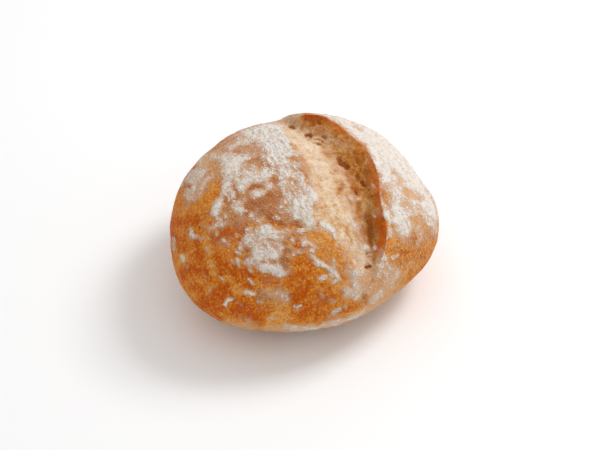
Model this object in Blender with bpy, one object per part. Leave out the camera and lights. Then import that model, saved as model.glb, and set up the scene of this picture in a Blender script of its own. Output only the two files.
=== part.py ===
"""A small boule: one round hearth loaf with a single slash that opened in the
oven, so that its right-hand lip stands up as an ear over a smooth band of
risen crumb.

The loaf is one solid. A cube whose faces are cut into a grid is wrapped on to
a domed form with a flat sole. One face of the cube lies over the slash, and
its columns are steered so that they run along the slash's left edge, its
groove and its lip. Metres, +Z up, the sole in the plane z = 0 and the box of
the loaf centred over the origin.
"""

import math

import bmesh
import bpy
import numpy as np

# ---- the domed form, metres ----
HALF_WIDTH = 0.0881       # half the plan width along X
HALF_DEPTH = 0.0886       # half the plan depth along Y
DOME_HEIGHT = 0.0944      # top of the dome above the sole
WAIST_HEIGHT = 0.0370     # height of the widest ring
BELLY_DROP = 0.0456       # how far the belly would reach below the waist
SOLE_BLEND = 0.0030       # how softly the belly runs into the flat sole
CROWN_POWER = 2.13        # 2 is an ellipse, more is squarer
BELLY_POWER = 2.00
CROWN_LEAN = (-0.0016, 0.0005)
# (waves round the plan, cosine share, sine share)
PLAN_WAVES = (
    (2, -0.015, 0.047),
    (3, 0.013, -0.014),
    (4, 0.003, -0.015),
    (5, 0.014, 0.001),
    (6, 0.007, -0.005),
)
# shallow swellings and hollows: (direction, reach in degrees, height)
SWELLINGS = (
    ((-0.15, 0.55, 0.82), 13.0, -0.0012),
    ((-0.42, 0.50, 0.72), 12.0, 0.0006),
    ((0.95, 0.05, 0.20), 18.0, 0.0004),
    ((0.62, 0.45, 0.62), 14.0, 0.0008),
    ((-0.80, 0.10, 0.55), 18.0, -0.0003),
    ((-0.55, -0.45, 0.70), 20.0, 0.0007),
    ((-0.35, -0.90, 0.10), 20.0, 0.0013),
    ((-0.80, -0.55, 0.15), 15.0, -0.0007),
    ((0.25, -0.92, 0.15), 15.0, 0.0004),
    ((0.75, -0.62, 0.12), 16.0, 0.0014),
    ((-0.30, -0.75, 0.55), 11.0, -0.0006),
    ((0.10, 0.90, 0.35), 20.0, 0.0008),
    ((-0.20, 0.745, 0.64), 8.0, -0.0020),
    ((0.34, 0.72, 0.61), 9.0, -0.0022),
    ((0.885, 0.25, 0.385), 7.0, -0.0020),
)

# ---- the slash ----
SLASH_HEADING = -66.7     # degrees from +X, seen from above
PATCH_TILT = 13.0         # degrees the patch's middle leans along the slash
PATCH_ROLL = 13.0         # degrees it leans to the right of the slash
PATCH_SPREAD = 24.0       # degrees by which the patch is stretched
LEFT_COLUMN = -5 / 14     # grid columns that follow the slash's lines
GROOVE_COLUMN = 1 / 14
LIP_COLUMN = 5 / 14
# Along the slash, from its far end to its near end: place on the patch, the
# left edge, the groove and the lip across it, then the groove's depth and the
# lip's rise in metres.
SLASH_STATIONS = (
    (-1.00, -0.220, -0.110, -0.030, 0.0000, 0.0000),
    (-0.88, -0.265, -0.095, -0.020, 0.0010, 0.0012),
    (-0.77, -0.250, -0.070, -0.005, 0.0024, 0.0030),
    (-0.66, -0.215, -0.052, 0.025, 0.0034, 0.0040),
    (-0.56, -0.200, -0.040, 0.090, 0.0038, 0.0046),
    (-0.45, -0.200, -0.015, 0.138, 0.0042, 0.0049),
    (-0.30, -0.210, 0.038, 0.181, 0.0045, 0.0050),
    (-0.15, -0.198, 0.070, 0.216, 0.0047, 0.0050),
    (0.00, -0.195, 0.112, 0.208, 0.0048, 0.0050),
    (0.15, -0.245, 0.110, 0.205, 0.0050, 0.0050),
    (0.30, -0.267, 0.100, 0.192, 0.0056, 0.0050),
    (0.42, -0.262, 0.120, 0.186, 0.0064, 0.0048),
    (0.52, -0.222, 0.142, 0.208, 0.0066, 0.0045),
    (0.62, -0.193, 0.152, 0.213, 0.0064, 0.0040),
    (0.72, -0.152, 0.140, 0.199, 0.0050, 0.0034),
    (0.82, -0.098, 0.108, 0.176, 0.0032, 0.0020),
    (0.91, -0.060, 0.078, 0.164, 0.0011, 0.0007),
    (1.00, -0.050, 0.070, 0.160, 0.0000, 0.0000),
)
EDGE_STEP = 0.0010        # the crust's broken edge above the crumb
EAR_REACH = 0.0230        # how far behind the lip the ear stands proud
PATCH_SPAN = 0.0950       # metres across half the patch

# ---- the mesh ----
CELLS = 28                # grid cells along each edge of the cube


def unit(v):
    return v / np.linalg.norm(v, axis=-1, keepdims=True)


def slash_axes():
    """Unit vectors of the patch: along the slash, across it and outward."""
    turn = math.radians(SLASH_HEADING)
    along = np.array((math.cos(turn), math.sin(turn), 0.0))
    across = np.array((-along[1], along[0], 0.0))
    up = np.array((0.0, 0.0, 1.0))
    roll, tilt = math.radians(PATCH_ROLL), math.radians(PATCH_TILT)
    leaning = across * math.sin(roll) + up * math.cos(roll)
    outward = along * math.sin(tilt) + leaning * math.cos(tilt)
    return (
        along * math.cos(tilt) - leaning * math.sin(tilt),
        across * math.cos(roll) - up * math.sin(roll),
        outward,
    )


def smooth(t):
    t = np.clip(t, 0.0, 1.0)
    return t * t * (3.0 - 2.0 * t)


def station_values(place):
    """The slash's five values at each place, on a smooth curve through the stations."""
    table = np.array(SLASH_STATIONS)
    knots, values = table[:, 0], table[:, 1:]
    slope = np.zeros_like(values)
    slope[1:-1] = (values[2:] - values[:-2]) / (knots[2:] - knots[:-2])[:, None]
    place = np.clip(place, knots[0], knots[-1])
    i = np.clip(np.searchsorted(knots, place, side="right") - 1, 0, len(knots) - 2)
    width = (knots[i + 1] - knots[i])[:, None]
    t = (place - knots[i])[:, None] / width
    return (
        (2 * t**3 - 3 * t**2 + 1) * values[i]
        + (t**3 - 2 * t**2 + t) * width * slope[i]
        + (3 * t**2 - 2 * t**3) * values[i + 1]
        + (t**3 - t**2) * width * slope[i + 1]
    )


def steer(column, place, lines):
    """Moves each column across the patch on to the slash's lines, smoothly and in order."""
    knots = np.array((-1.0, LEFT_COLUMN, GROOVE_COLUMN, LIP_COLUMN, 1.0))
    goals = np.stack(
        (
            np.full_like(place, -1.0),
            lines[:, 0],
            lines[:, 1],
            lines[:, 2],
            np.full_like(place, 1.0),
        ),
        axis=1,
    )
    steps = np.diff(knots)
    rates = np.diff(goals, axis=1) / steps
    slope = np.empty_like(goals)
    slope[:, 0], slope[:, -1] = rates[:, 0], rates[:, -1]
    slope[:, 1:-1] = 2 * rates[:, :-1] * rates[:, 1:] / (rates[:, :-1] + rates[:, 1:])
    i = np.clip(np.searchsorted(knots, column, side="right") - 1, 0, 3)
    row = np.arange(len(column))
    t = (column - knots[i]) / steps[i]
    moved = (
        (2 * t**3 - 3 * t**2 + 1) * goals[row, i]
        + (t**3 - 2 * t**2 + t) * steps[i] * slope[row, i]
        + (3 * t**2 - 2 * t**3) * goals[row, i + 1]
        + (t**3 - t**2) * steps[i] * slope[row, i + 1]
    )
    hold = smooth((1.0 - np.abs(place)) / 0.12)
    return column + (moved - column) * hold


def cube_to_sphere(points):
    """Equal-angle wrap of the cube's surface, stretched so that the patch is wide."""
    wrapped = unit(np.tan(points * math.pi / 4))
    polar = np.arccos(np.clip(wrapped[:, 2], -1.0, 1.0))
    wide = polar + math.radians(PATCH_SPREAD) * np.sin(polar)
    flat = np.linalg.norm(wrapped[:, :2], axis=1)
    scale = np.sin(wide) / np.where(flat < 1e-12, 1.0, flat)
    local = np.stack(
        (wrapped[:, 0] * scale, wrapped[:, 1] * scale, np.cos(wide)), axis=1
    )
    along, across, outward = slash_axes()
    return unit(
        local[:, :1] * across + local[:, 1:2] * along + local[:, 2:3] * outward
    )


def domed_form(direction):
    """The uncut loaf: where the ray along each direction meets its surface."""
    x, y, z = direction[:, 0], direction[:, 1], direction[:, 2]
    turn = np.arctan2(y, x)
    level = np.maximum(np.hypot(x, y), 1e-9)
    steep = np.maximum(np.abs(z), 1e-9)
    plan = 1.0 + sum(
        c * np.cos(k * turn) + s * np.sin(k * turn) for k, c, s in PLAN_WAVES
    )
    power = np.where(z >= 0.0, CROWN_POWER, BELLY_POWER)
    reach = (level**power + steep**power) ** (-1.0 / power)
    out, rise = level * reach, steep * reach
    height = np.where(
        z >= 0.0,
        WAIST_HEIGHT + (DOME_HEIGHT - WAIST_HEIGHT) * rise,
        WAIST_HEIGHT - BELLY_DROP * rise,
    )
    blend = (height + SOLE_BLEND) ** 2 / (4 * SOLE_BLEND)
    height = np.where(
        height > SOLE_BLEND, height, np.where(height < -SOLE_BLEND, 0.0, blend)
    )
    lean = (height / DOME_HEIGHT) ** 2
    return np.stack(
        (
            out * plan * HALF_WIDTH * np.cos(turn) + CROWN_LEAN[0] * lean,
            out * plan * HALF_DEPTH * np.sin(turn) + CROWN_LEAN[1] * lean,
            height,
        ),
        axis=1,
    )


def outward_normals(direction):
    helper = np.where(np.abs(direction[:, 2:3]) < 0.9, (0.0, 0.0, 1.0), (1.0, 0.0, 0.0))
    side = unit(np.cross(direction, helper))
    other = np.cross(direction, side)
    step = 1e-3
    slopes = [
        domed_form(unit(direction + step * t)) - domed_form(unit(direction - step * t))
        for t in (side, other)
    ]
    normal = unit(np.cross(*slopes))
    middle = np.array((0.0, 0.0, 0.03))
    facing = np.sum(normal * (domed_form(direction) - middle), axis=1, keepdims=True)
    return normal * np.where(facing < 0.0, -1.0, 1.0)


def swelling(direction):
    total = np.zeros(len(direction))
    for centre, reach, height in SWELLINGS:
        angle = np.degrees(
            np.arccos(np.clip(direction @ unit(np.array(centre)), -1.0, 1.0))
        )
        total += height * np.exp(-((angle / reach) ** 2))
    return total


def slash_relief(column, place, across, lines):
    """Height of the slashed surface over the uncut form, across the patch."""
    depth, rise, lip = lines[:, 3], lines[:, 4], lines[:, 2]
    strength = np.clip(depth / 0.0038, 0.0, 1.0)
    # near the slash's near end the groove narrows and its floor drops faster
    narrow = smooth((place - 0.30) / 0.18) * (1 - smooth((place - 0.66) / 0.14))
    s = (column - LEFT_COLUMN) / (GROOVE_COLUMN - LEFT_COLUMN)
    t = (column - GROOVE_COLUMN) / (LIP_COLUMN - GROOVE_COLUMN)
    edge = EDGE_STEP * strength
    fall = 1.2 + 1.1 * narrow
    crumb = 0.4 * edge - edge * smooth(s / 0.2)
    crumb -= (depth - 0.6 * edge) * np.where(s > 1, 1 + fall * (s - 1), np.clip(s, 0, 1) ** fall)
    wall = -depth + (depth + rise) * np.where(t > 0, np.clip(t, 0, 1) ** 0.95, 1.3 * t)
    # the two slopes meet in a rounded valley
    round_off = np.minimum(0.0060 - 0.0030 * narrow, 1.1 * depth + 1e-6)
    valley = np.maximum(crumb, wall)
    valley += np.clip(round_off - np.abs(crumb - wall), 0, None) ** 2 / (4 * round_off)
    behind = np.maximum(across - lip, 0.0) * PATCH_SPAN
    ear = rise * np.exp(-((behind / EAR_REACH) ** 1.4))
    crust = 0.4 * edge * np.exp(-(((column - LEFT_COLUMN) / 0.12) ** 2))
    return np.where(
        column <= LEFT_COLUMN, crust, np.where(column <= LIP_COLUMN, valley, ear)
    )


def loaf_points(cube):
    """Points of the cube's surface carried to the loaf's surface."""
    cube = np.array(cube)
    over = cube[:, 2] > 1.0 - 1e-6
    relief = np.zeros(len(cube))
    column, place = cube[over, 0].copy(), cube[over, 1].copy()
    lines = station_values(place)
    across = steer(column, place, lines)
    cube[over, 0] = across
    fade = smooth((1.0 - np.abs(column)) / 0.25)
    relief[over] = slash_relief(column, place, across, lines) * fade
    direction = cube_to_sphere(cube)
    form = domed_form(direction)
    standing = smooth((form[:, 2] - 0.002) / 0.02)
    lift = relief + swelling(direction) * standing
    return form + outward_normals(direction) * lift[:, None]


def material(name, colour, roughness):
    made = bpy.data.materials.new(name)
    made.use_nodes = True
    shader = made.node_tree.nodes["Principled BSDF"]
    shader.inputs["Base Color"].default_value = (*colour, 1.0)
    shader.inputs["Roughness"].default_value = roughness
    shader.inputs["Metallic"].default_value = 0.0
    made.diffuse_color = (*colour, 1.0)
    return made


def main():
    for old in list(bpy.data.objects):
        bpy.data.objects.remove(old, do_unlink=True)

    holder = bpy.data.collections.new("boule")
    bpy.context.scene.collection.children.link(holder)

    grid = bmesh.new()
    bmesh.ops.create_cube(grid, size=2.0)
    bmesh.ops.subdivide_edges(
        grid, edges=list(grid.edges), cuts=CELLS - 1, use_grid_fill=True
    )
    grid.verts.ensure_lookup_table()
    cube = np.array([tuple(v.co) for v in grid.verts])
    cube = np.round((cube + 1.0) * CELLS / 2) * 2 / CELLS - 1.0
    points = loaf_points(cube)
    middle = (points[:, :2].min(axis=0) + points[:, :2].max(axis=0)) / 2
    points[:, :2] -= middle
    for vert, point in zip(grid.verts, points):
        vert.co = point
    for face in grid.faces:
        face.smooth = True
        columns = [cube[v.index][0] for v in face.verts]
        places = [cube[v.index][1] for v in face.verts]
        on_patch = all(cube[v.index][2] > 0.999 for v in face.verts)
        in_slash = min(columns) >= LEFT_COLUMN - 1e-6 and max(columns) <= LIP_COLUMN + 1e-6
        in_length = min(places) > -0.93 and max(places) < 0.93
        face.material_index = int(on_patch and in_slash and in_length)
    # the patch's axes (across, along, outward) are left-handed
    bmesh.ops.reverse_faces(grid, faces=list(grid.faces))

    mesh = bpy.data.meshes.new("boule")
    grid.to_mesh(mesh)
    grid.free()
    mesh.materials.append(material("baked_crust", (0.46, 0.22, 0.075), 0.78))
    mesh.materials.append(material("risen_crumb", (0.78, 0.60, 0.36), 0.88))
    loaf = bpy.data.objects.new("boule", mesh)
    holder.objects.link(loaf)
    print("box middle moved by", middle)


main()
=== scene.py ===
import math

import bpy
import numpy as np
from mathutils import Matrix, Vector


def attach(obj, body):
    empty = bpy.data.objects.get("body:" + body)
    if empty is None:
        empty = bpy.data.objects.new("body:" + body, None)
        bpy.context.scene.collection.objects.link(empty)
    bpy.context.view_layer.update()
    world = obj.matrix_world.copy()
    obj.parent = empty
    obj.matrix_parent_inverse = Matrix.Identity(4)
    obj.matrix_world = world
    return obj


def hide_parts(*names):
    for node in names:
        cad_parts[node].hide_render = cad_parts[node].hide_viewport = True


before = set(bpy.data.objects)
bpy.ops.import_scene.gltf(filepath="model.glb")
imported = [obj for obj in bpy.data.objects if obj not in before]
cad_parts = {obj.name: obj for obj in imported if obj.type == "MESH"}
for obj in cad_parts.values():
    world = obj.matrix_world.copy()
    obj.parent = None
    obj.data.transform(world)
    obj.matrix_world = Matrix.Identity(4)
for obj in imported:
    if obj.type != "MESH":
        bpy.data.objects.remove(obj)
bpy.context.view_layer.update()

# ======================================================================
# The loaf's form: the same rules and sizes as the solid it stands for.
# ======================================================================
HALF_WIDTH = 0.0881
HALF_DEPTH = 0.0886
DOME_HEIGHT = 0.0944
WAIST_HEIGHT = 0.0370
BELLY_DROP = 0.0456
SOLE_BLEND = 0.0030
CROWN_POWER = 2.13
BELLY_POWER = 2.00
CROWN_LEAN = (-0.0016, 0.0005)
PLAN_WAVES = (
    (2, -0.015, 0.047),
    (3, 0.013, -0.014),
    (4, 0.003, -0.015),
    (5, 0.014, 0.001),
    (6, 0.007, -0.005),
)
SWELLINGS = (
    ((-0.15, 0.55, 0.82), 13.0, -0.0012),
    ((-0.42, 0.50, 0.72), 12.0, 0.0006),
    ((0.95, 0.05, 0.20), 18.0, 0.0004),
    ((0.62, 0.45, 0.62), 14.0, 0.0008),
    ((-0.80, 0.10, 0.55), 18.0, -0.0003),
    ((-0.55, -0.45, 0.70), 20.0, 0.0007),
    ((-0.35, -0.90, 0.10), 20.0, 0.0013),
    ((-0.80, -0.55, 0.15), 15.0, -0.0007),
    ((0.25, -0.92, 0.15), 15.0, 0.0004),
    ((0.75, -0.62, 0.12), 16.0, 0.0014),
    ((-0.30, -0.75, 0.55), 11.0, -0.0006),
    ((0.10, 0.90, 0.35), 20.0, 0.0008),
    ((-0.20, 0.745, 0.64), 8.0, -0.0020),
    ((0.34, 0.72, 0.61), 9.0, -0.0022),
    ((0.885, 0.25, 0.385), 7.0, -0.0020),
)
SLASH_HEADING = -66.7
PATCH_TILT = 13.0
PATCH_ROLL = 13.0
PATCH_SPREAD = 24.0
LEFT_COLUMN = -5 / 14
GROOVE_COLUMN = 1 / 14
LIP_COLUMN = 5 / 14
# place along the patch; left edge, groove, lip across it; groove depth, lip rise
SLASH_STATIONS = (
    (-1.00, -0.220, -0.110, -0.030, 0.0000, 0.0000),
    (-0.88, -0.265, -0.095, -0.020, 0.0010, 0.0012),
    (-0.77, -0.250, -0.070, -0.005, 0.0024, 0.0030),
    (-0.66, -0.215, -0.052, 0.025, 0.0034, 0.0040),
    (-0.56, -0.200, -0.040, 0.090, 0.0038, 0.0046),
    (-0.45, -0.200, -0.015, 0.138, 0.0042, 0.0049),
    (-0.30, -0.210, 0.038, 0.181, 0.0045, 0.0050),
    (-0.15, -0.198, 0.070, 0.216, 0.0047, 0.0050),
    (0.00, -0.195, 0.112, 0.208, 0.0048, 0.0050),
    (0.15, -0.245, 0.110, 0.205, 0.0050, 0.0050),
    (0.30, -0.267, 0.100, 0.192, 0.0056, 0.0050),
    (0.42, -0.262, 0.120, 0.186, 0.0064, 0.0048),
    (0.52, -0.222, 0.142, 0.208, 0.0066, 0.0045),
    (0.62, -0.193, 0.152, 0.213, 0.0064, 0.0040),
    (0.72, -0.152, 0.140, 0.199, 0.0050, 0.0034),
    (0.82, -0.098, 0.108, 0.176, 0.0032, 0.0020),
    (0.91, -0.060, 0.078, 0.164, 0.0011, 0.0007),
    (1.00, -0.050, 0.070, 0.160, 0.0000, 0.0000),
)
EDGE_STEP = 0.0010
EAR_REACH = 0.0230
PATCH_SPAN = 0.0950
BOX_MIDDLE = np.array((0.00223303, 0.00132886, 0.0))

# ---- fine mesh: columns to the slash's left, in its crumb, in its wall, to its right ----
LEFT_CELLS, CRUMB_CELLS, WALL_CELLS, RIGHT_CELLS = 66, 44, 32, 58
ROWS = 184
SKIRT_ROWS = 90

# ---- the camera: the picture's own viewing angle ----
ELEVATION = 40.0
DISTANCE = 0.900
LENS, SENSOR = 82.19, 36.0
WIDE, HIGH = 600, 450
AIM = np.array((0.0, 0.0, 0.040)) - BOX_MIDDLE
ASIDE, UPWARD = -0.00081, -0.00234


def unit(v):
    return v / np.maximum(np.linalg.norm(v, axis=-1, keepdims=True), 1e-12)


def smooth(t):
    t = np.clip(t, 0.0, 1.0)
    return t * t * (3.0 - 2.0 * t)


def step(low, high, value):
    return smooth((value - low) / (high - low))


def slash_axes():
    turn = math.radians(SLASH_HEADING)
    along = np.array((math.cos(turn), math.sin(turn), 0.0))
    across = np.array((-along[1], along[0], 0.0))
    up = np.array((0.0, 0.0, 1.0))
    roll, tilt = math.radians(PATCH_ROLL), math.radians(PATCH_TILT)
    leaning = across * math.sin(roll) + up * math.cos(roll)
    outward = along * math.sin(tilt) + leaning * math.cos(tilt)
    return (
        along * math.cos(tilt) - leaning * math.sin(tilt),
        across * math.cos(roll) - up * math.sin(roll),
        outward,
    )


def station_values(place):
    table = np.array(SLASH_STATIONS)
    knots, values = table[:, 0], table[:, 1:]
    slope = np.zeros_like(values)
    slope[1:-1] = (values[2:] - values[:-2]) / (knots[2:] - knots[:-2])[:, None]
    place = np.clip(place, knots[0], knots[-1])
    i = np.clip(np.searchsorted(knots, place, side="right") - 1, 0, len(knots) - 2)
    width = (knots[i + 1] - knots[i])[:, None]
    t = (place - knots[i])[:, None] / width
    return (
        (2 * t**3 - 3 * t**2 + 1) * values[i]
        + (t**3 - 2 * t**2 + t) * width * slope[i]
        + (3 * t**2 - 2 * t**3) * values[i + 1]
        + (t**3 - t**2) * width * slope[i + 1]
    )


def steer(column, place, lines):
    knots = np.array((-1.0, LEFT_COLUMN, GROOVE_COLUMN, LIP_COLUMN, 1.0))
    goals = np.stack(
        (np.full_like(place, -1.0), lines[:, 0], lines[:, 1], lines[:, 2], np.full_like(place, 1.0)),
        axis=1,
    )
    steps = np.diff(knots)
    rates = np.diff(goals, axis=1) / steps
    slope = np.empty_like(goals)
    slope[:, 0], slope[:, -1] = rates[:, 0], rates[:, -1]
    slope[:, 1:-1] = 2 * rates[:, :-1] * rates[:, 1:] / (rates[:, :-1] + rates[:, 1:])
    i = np.clip(np.searchsorted(knots, column, side="right") - 1, 0, 3)
    row = np.arange(len(column))
    t = (column - knots[i]) / steps[i]
    moved = (
        (2 * t**3 - 3 * t**2 + 1) * goals[row, i]
        + (t**3 - 2 * t**2 + t) * steps[i] * slope[row, i]
        + (3 * t**2 - 2 * t**3) * goals[row, i + 1]
        + (t**3 - t**2) * steps[i] * slope[row, i + 1]
    )
    hold = smooth((1.0 - np.abs(place)) / 0.12)
    return column + (moved - column) * hold


def cube_to_sphere(points):
    wrapped = unit(np.tan(points * math.pi / 4))
    polar = np.arccos(np.clip(wrapped[:, 2], -1.0, 1.0))
    wide = polar + math.radians(PATCH_SPREAD) * np.sin(polar)
    flat = np.linalg.norm(wrapped[:, :2], axis=1)
    scale = np.sin(wide) / np.where(flat < 1e-12, 1.0, flat)
    local = np.stack((wrapped[:, 0] * scale, wrapped[:, 1] * scale, np.cos(wide)), axis=1)
    along, across, outward = slash_axes()
    return unit(local[:, :1] * across + local[:, 1:2] * along + local[:, 2:3] * outward)


def domed_form(direction):
    x, y, z = direction[:, 0], direction[:, 1], direction[:, 2]
    turn = np.arctan2(y, x)
    level = np.maximum(np.hypot(x, y), 1e-9)
    steep = np.maximum(np.abs(z), 1e-9)
    plan = 1.0 + sum(c * np.cos(k * turn) + s * np.sin(k * turn) for k, c, s in PLAN_WAVES)
    power = np.where(z >= 0.0, CROWN_POWER, BELLY_POWER)
    reach = (level**power + steep**power) ** (-1.0 / power)
    out, rise = level * reach, steep * reach
    height = np.where(
        z >= 0.0,
        WAIST_HEIGHT + (DOME_HEIGHT - WAIST_HEIGHT) * rise,
        WAIST_HEIGHT - BELLY_DROP * rise,
    )
    blend = (height + SOLE_BLEND) ** 2 / (4 * SOLE_BLEND)
    height = np.where(height > SOLE_BLEND, height, np.where(height < -SOLE_BLEND, 0.0, blend))
    lean = (height / DOME_HEIGHT) ** 2
    return np.stack(
        (
            out * plan * HALF_WIDTH * np.cos(turn) + CROWN_LEAN[0] * lean,
            out * plan * HALF_DEPTH * np.sin(turn) + CROWN_LEAN[1] * lean,
            height,
        ),
        axis=1,
    )


def outward_normals(direction):
    helper = np.where(np.abs(direction[:, 2:3]) < 0.9, (0.0, 0.0, 1.0), (1.0, 0.0, 0.0))
    side = unit(np.cross(direction, helper))
    other = np.cross(direction, side)
    small = 1e-3
    slopes = [
        domed_form(unit(direction + small * t)) - domed_form(unit(direction - small * t))
        for t in (side, other)
    ]
    normal = unit(np.cross(*slopes))
    middle = np.array((0.0, 0.0, 0.03))
    facing = np.sum(normal * (domed_form(direction) - middle), axis=1, keepdims=True)
    return normal * np.where(facing < 0.0, -1.0, 1.0)


def swelling(direction):
    total = np.zeros(len(direction))
    for centre, reach, height in SWELLINGS:
        angle = np.degrees(np.arccos(np.clip(direction @ unit(np.array(centre)), -1.0, 1.0)))
        total += height * np.exp(-((angle / reach) ** 2))
    return total


# ======================================================================
# Seeded gradient noise
# ======================================================================
_table = np.random.default_rng(41).permutation(512)
_table = np.concatenate((_table, _table, _table))
_grads = unit(np.random.default_rng(42).normal(size=(512, 3)))


def noise(points, size, seed=0):
    """Smooth noise of about -1 to 1 whose features are as large as size (a number or one for each axis)."""
    p = points / np.asarray(size) + seed * 17.37
    cell = np.floor(p).astype(np.int64)
    f = p - cell
    w = f * f * f * (f * (f * 6 - 15) + 10)
    total = np.zeros(len(points))
    for dx in (0, 1):
        for dy in (0, 1):
            for dz in (0, 1):
                c = (cell + (dx, dy, dz)) & 511
                key = _table[_table[_table[c[:, 0]] + c[:, 1]] + c[:, 2]]
                value = np.einsum("ij,ij->i", _grads[key], f - (dx, dy, dz))
                total += value * (
                    (w[:, 0] if dx else 1 - w[:, 0])
                    * (w[:, 1] if dy else 1 - w[:, 1])
                    * (w[:, 2] if dz else 1 - w[:, 2])
                )
    return total * 1.7


def cloudy(points, size, octaves=3, seed=0):
    total, share, whole = np.zeros(len(points)), 1.0, 0.0
    for k in range(octaves):
        total += share * noise(points, np.asarray(size) / 2.0**k, seed + 5 * k)
        whole += share
        share *= 0.55
    return total / whole


# ======================================================================
# Mesh topology: a fine patch over the slash, a skirt down the sides that
# is finer in front, and rings with ever fewer points across the sole.
# ======================================================================
def columns():
    parts = []
    for low, high, cells in (
        (-1.0, LEFT_COLUMN, LEFT_CELLS),
        (LEFT_COLUMN, GROOVE_COLUMN, CRUMB_CELLS),
        (GROOVE_COLUMN, LIP_COLUMN, WALL_CELLS),
        (LIP_COLUMN, 1.0, RIGHT_CELLS),
    ):
        parts.append(np.linspace(low, high, cells + 1)[:-1])
    return np.concatenate(parts + [np.array((1.0,))])


def topology():
    cols, rows = columns(), np.linspace(-1.0, 1.0, ROWS + 1)
    nx, ny = len(cols) - 1, ROWS
    gx, gy = np.meshgrid(cols, rows, indexing="ij")
    cube = [np.stack((gx.ravel(), gy.ravel(), np.ones(gx.size)), axis=1)]
    index = np.arange(gx.size).reshape(nx + 1, ny + 1)
    a, b, c, d = index[:-1, :-1], index[1:, :-1], index[1:, 1:], index[:-1, 1:]
    quads = [np.stack((a, d, c, b), axis=-1).reshape(-1, 4)]
    tris = []
    # the patch's edge: back and right first, then front and left
    loop = np.concatenate((index[:-1, 0], index[-1, :-1], index[:0:-1, -1], index[0, :0:-1]))
    count = gx.size

    def ring(xy, z):
        nonlocal count
        cube.append(np.concatenate((xy, np.full((len(xy), 1), z)), axis=1))
        made = np.arange(count, count + len(xy))
        count += len(xy)
        return made

    def bridge(outer, inner):
        o1, i1 = np.roll(outer, -1), np.roll(inner, -1)
        quads.append(np.stack((outer, o1, i1, inner), axis=1))

    def halve(outer, share):
        """Joins a ring to the next, which keeps every second point of the first share of it."""
        pairs = int(round(len(outer) * share)) // 2
        keep = np.concatenate((np.arange(0, 2 * pairs, 2), np.arange(2 * pairs, len(outer))))
        xy = last_xy[keep]
        inner = ring(xy * shrink, z)
        o0, o1, o2 = outer[0 : 2 * pairs : 2], outer[1 : 2 * pairs : 2], np.roll(outer, -2)[0 : 2 * pairs : 2]
        i0, i1 = inner[:pairs], np.roll(inner, -1)[:pairs]
        tris.extend(
            (
                np.stack((o0, o1, i0), axis=1),
                np.stack((o1, i1, i0), axis=1),
                np.stack((o1, o2, i1), axis=1),
            )
        )
        rest, o = inner[pairs:], outer[2 * pairs :]
        if len(rest):
            quads.append(
                np.stack(
                    (o, np.append(o[1:], outer[0]), np.append(rest[1:], inner[0]), rest), axis=1
                )
            )
        return inner, xy

    last, last_xy, shrink = loop, cube[0][loop][:, :2], 1.0
    t = np.linspace(0.0, 1.0, SKIRT_ROWS + 1)[1:]
    for k, z in enumerate(1.0 - 2.0 * (0.85 * t + 0.15 * t**3)):
        if k == 0:
            last, last_xy = halve(last, 0.5)
        else:
            new = ring(last_xy, z)
            bridge(last, new)
            last = new
    z = -1.0
    for k, shrink in enumerate((0.97, 0.93, 0.88, 0.81, 0.72, 0.61, 0.48, 0.33, 0.17)):
        if k in (0, 1, 3, 5, 7) and len(last) % 2 == 0:
            last, last_xy = halve(last, 1.0)
        else:
            new = ring(last_xy * shrink, z)
            bridge(last, new)
            last = new
    hub = ring(np.zeros((1, 2)), z)[0]
    tris.append(np.stack((last, np.roll(last, -1), np.full(len(last), hub)), axis=1))
    return np.concatenate(cube), np.concatenate(quads), np.concatenate(tris)


# ======================================================================
# Placing features, in the picture's own 600 x 450 frame
# ======================================================================
def camera_axes():
    e = math.radians(ELEVATION)
    forward = np.array((0.0, math.cos(e), -math.sin(e)))
    upward = np.array((0.0, math.sin(e), math.cos(e)))
    right = np.array((1.0, 0.0, 0.0))
    eye = AIM - forward * DISTANCE + right * ASIDE + upward * UPWARD
    return eye, right, upward, forward


def to_picture(points):
    eye, right, upward, forward = camera_axes()
    q = points - eye
    scale = LENS / SENSOR * WIDE / (q @ forward)
    return WIDE / 2 + (q @ right) * scale, HIGH / 2 - (q @ upward) * scale


def gap_to(px, py, line, closed=False):
    """Distance in pixels from each point to a polyline, and for a closed one the winding too."""
    best, winding = np.full(len(px), 1e9), np.zeros(len(px), bool)
    ends = line[1:] + line[:1] if closed else line[1:] if len(line) > 1 else line
    for (x0, y0), (x1, y1) in zip(line, ends):
        dx, dy = x1 - x0, y1 - y0
        size = dx * dx + dy * dy
        t = 0.0 if size == 0 else np.clip(((px - x0) * dx + (py - y0) * dy) / size, 0, 1)
        best = np.minimum(best, (px - x0 - t * dx) ** 2 + (py - y0 - t * dy) ** 2)
        if closed and dy != 0:
            crosses = (y0 > py) != (y1 > py)
            winding ^= crosses & (px < x0 + (py - y0) * dx / dy)
    return np.sqrt(best), winding


def laid(px, py, areas=(), lines=()):
    """How thickly areas (outline, amount, softness) and lines (points, width, amount) cover each point."""
    left = np.ones(len(px))
    for outline, amount, soft in areas:
        soft = 1.0 + 1.1 * soft
        xs, ys = [x for x, _ in outline], [y for _, y in outline]
        near = np.flatnonzero(
            (px > min(xs) - soft) & (px < max(xs) + soft) & (py > min(ys) - soft) & (py < max(ys) + soft)
        )
        gap, within = gap_to(px[near], py[near], outline, True)
        left[near] *= 1 - amount * smooth(0.5 + np.where(within, gap, -gap) / soft / 2)
    for points, width, amount in lines:
        xs, ys = [x for x, _ in points], [y for _, y in points]
        near = np.flatnonzero(
            (px > min(xs) - width) & (px < max(xs) + width) & (py > min(ys) - width) & (py < max(ys) + width)
        )
        gap, _ = gap_to(px[near], py[near], points)
        left[near] *= 1 - amount * (1 - smooth(gap / width * 1.35 - 0.18))
    return 1 - left


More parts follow.
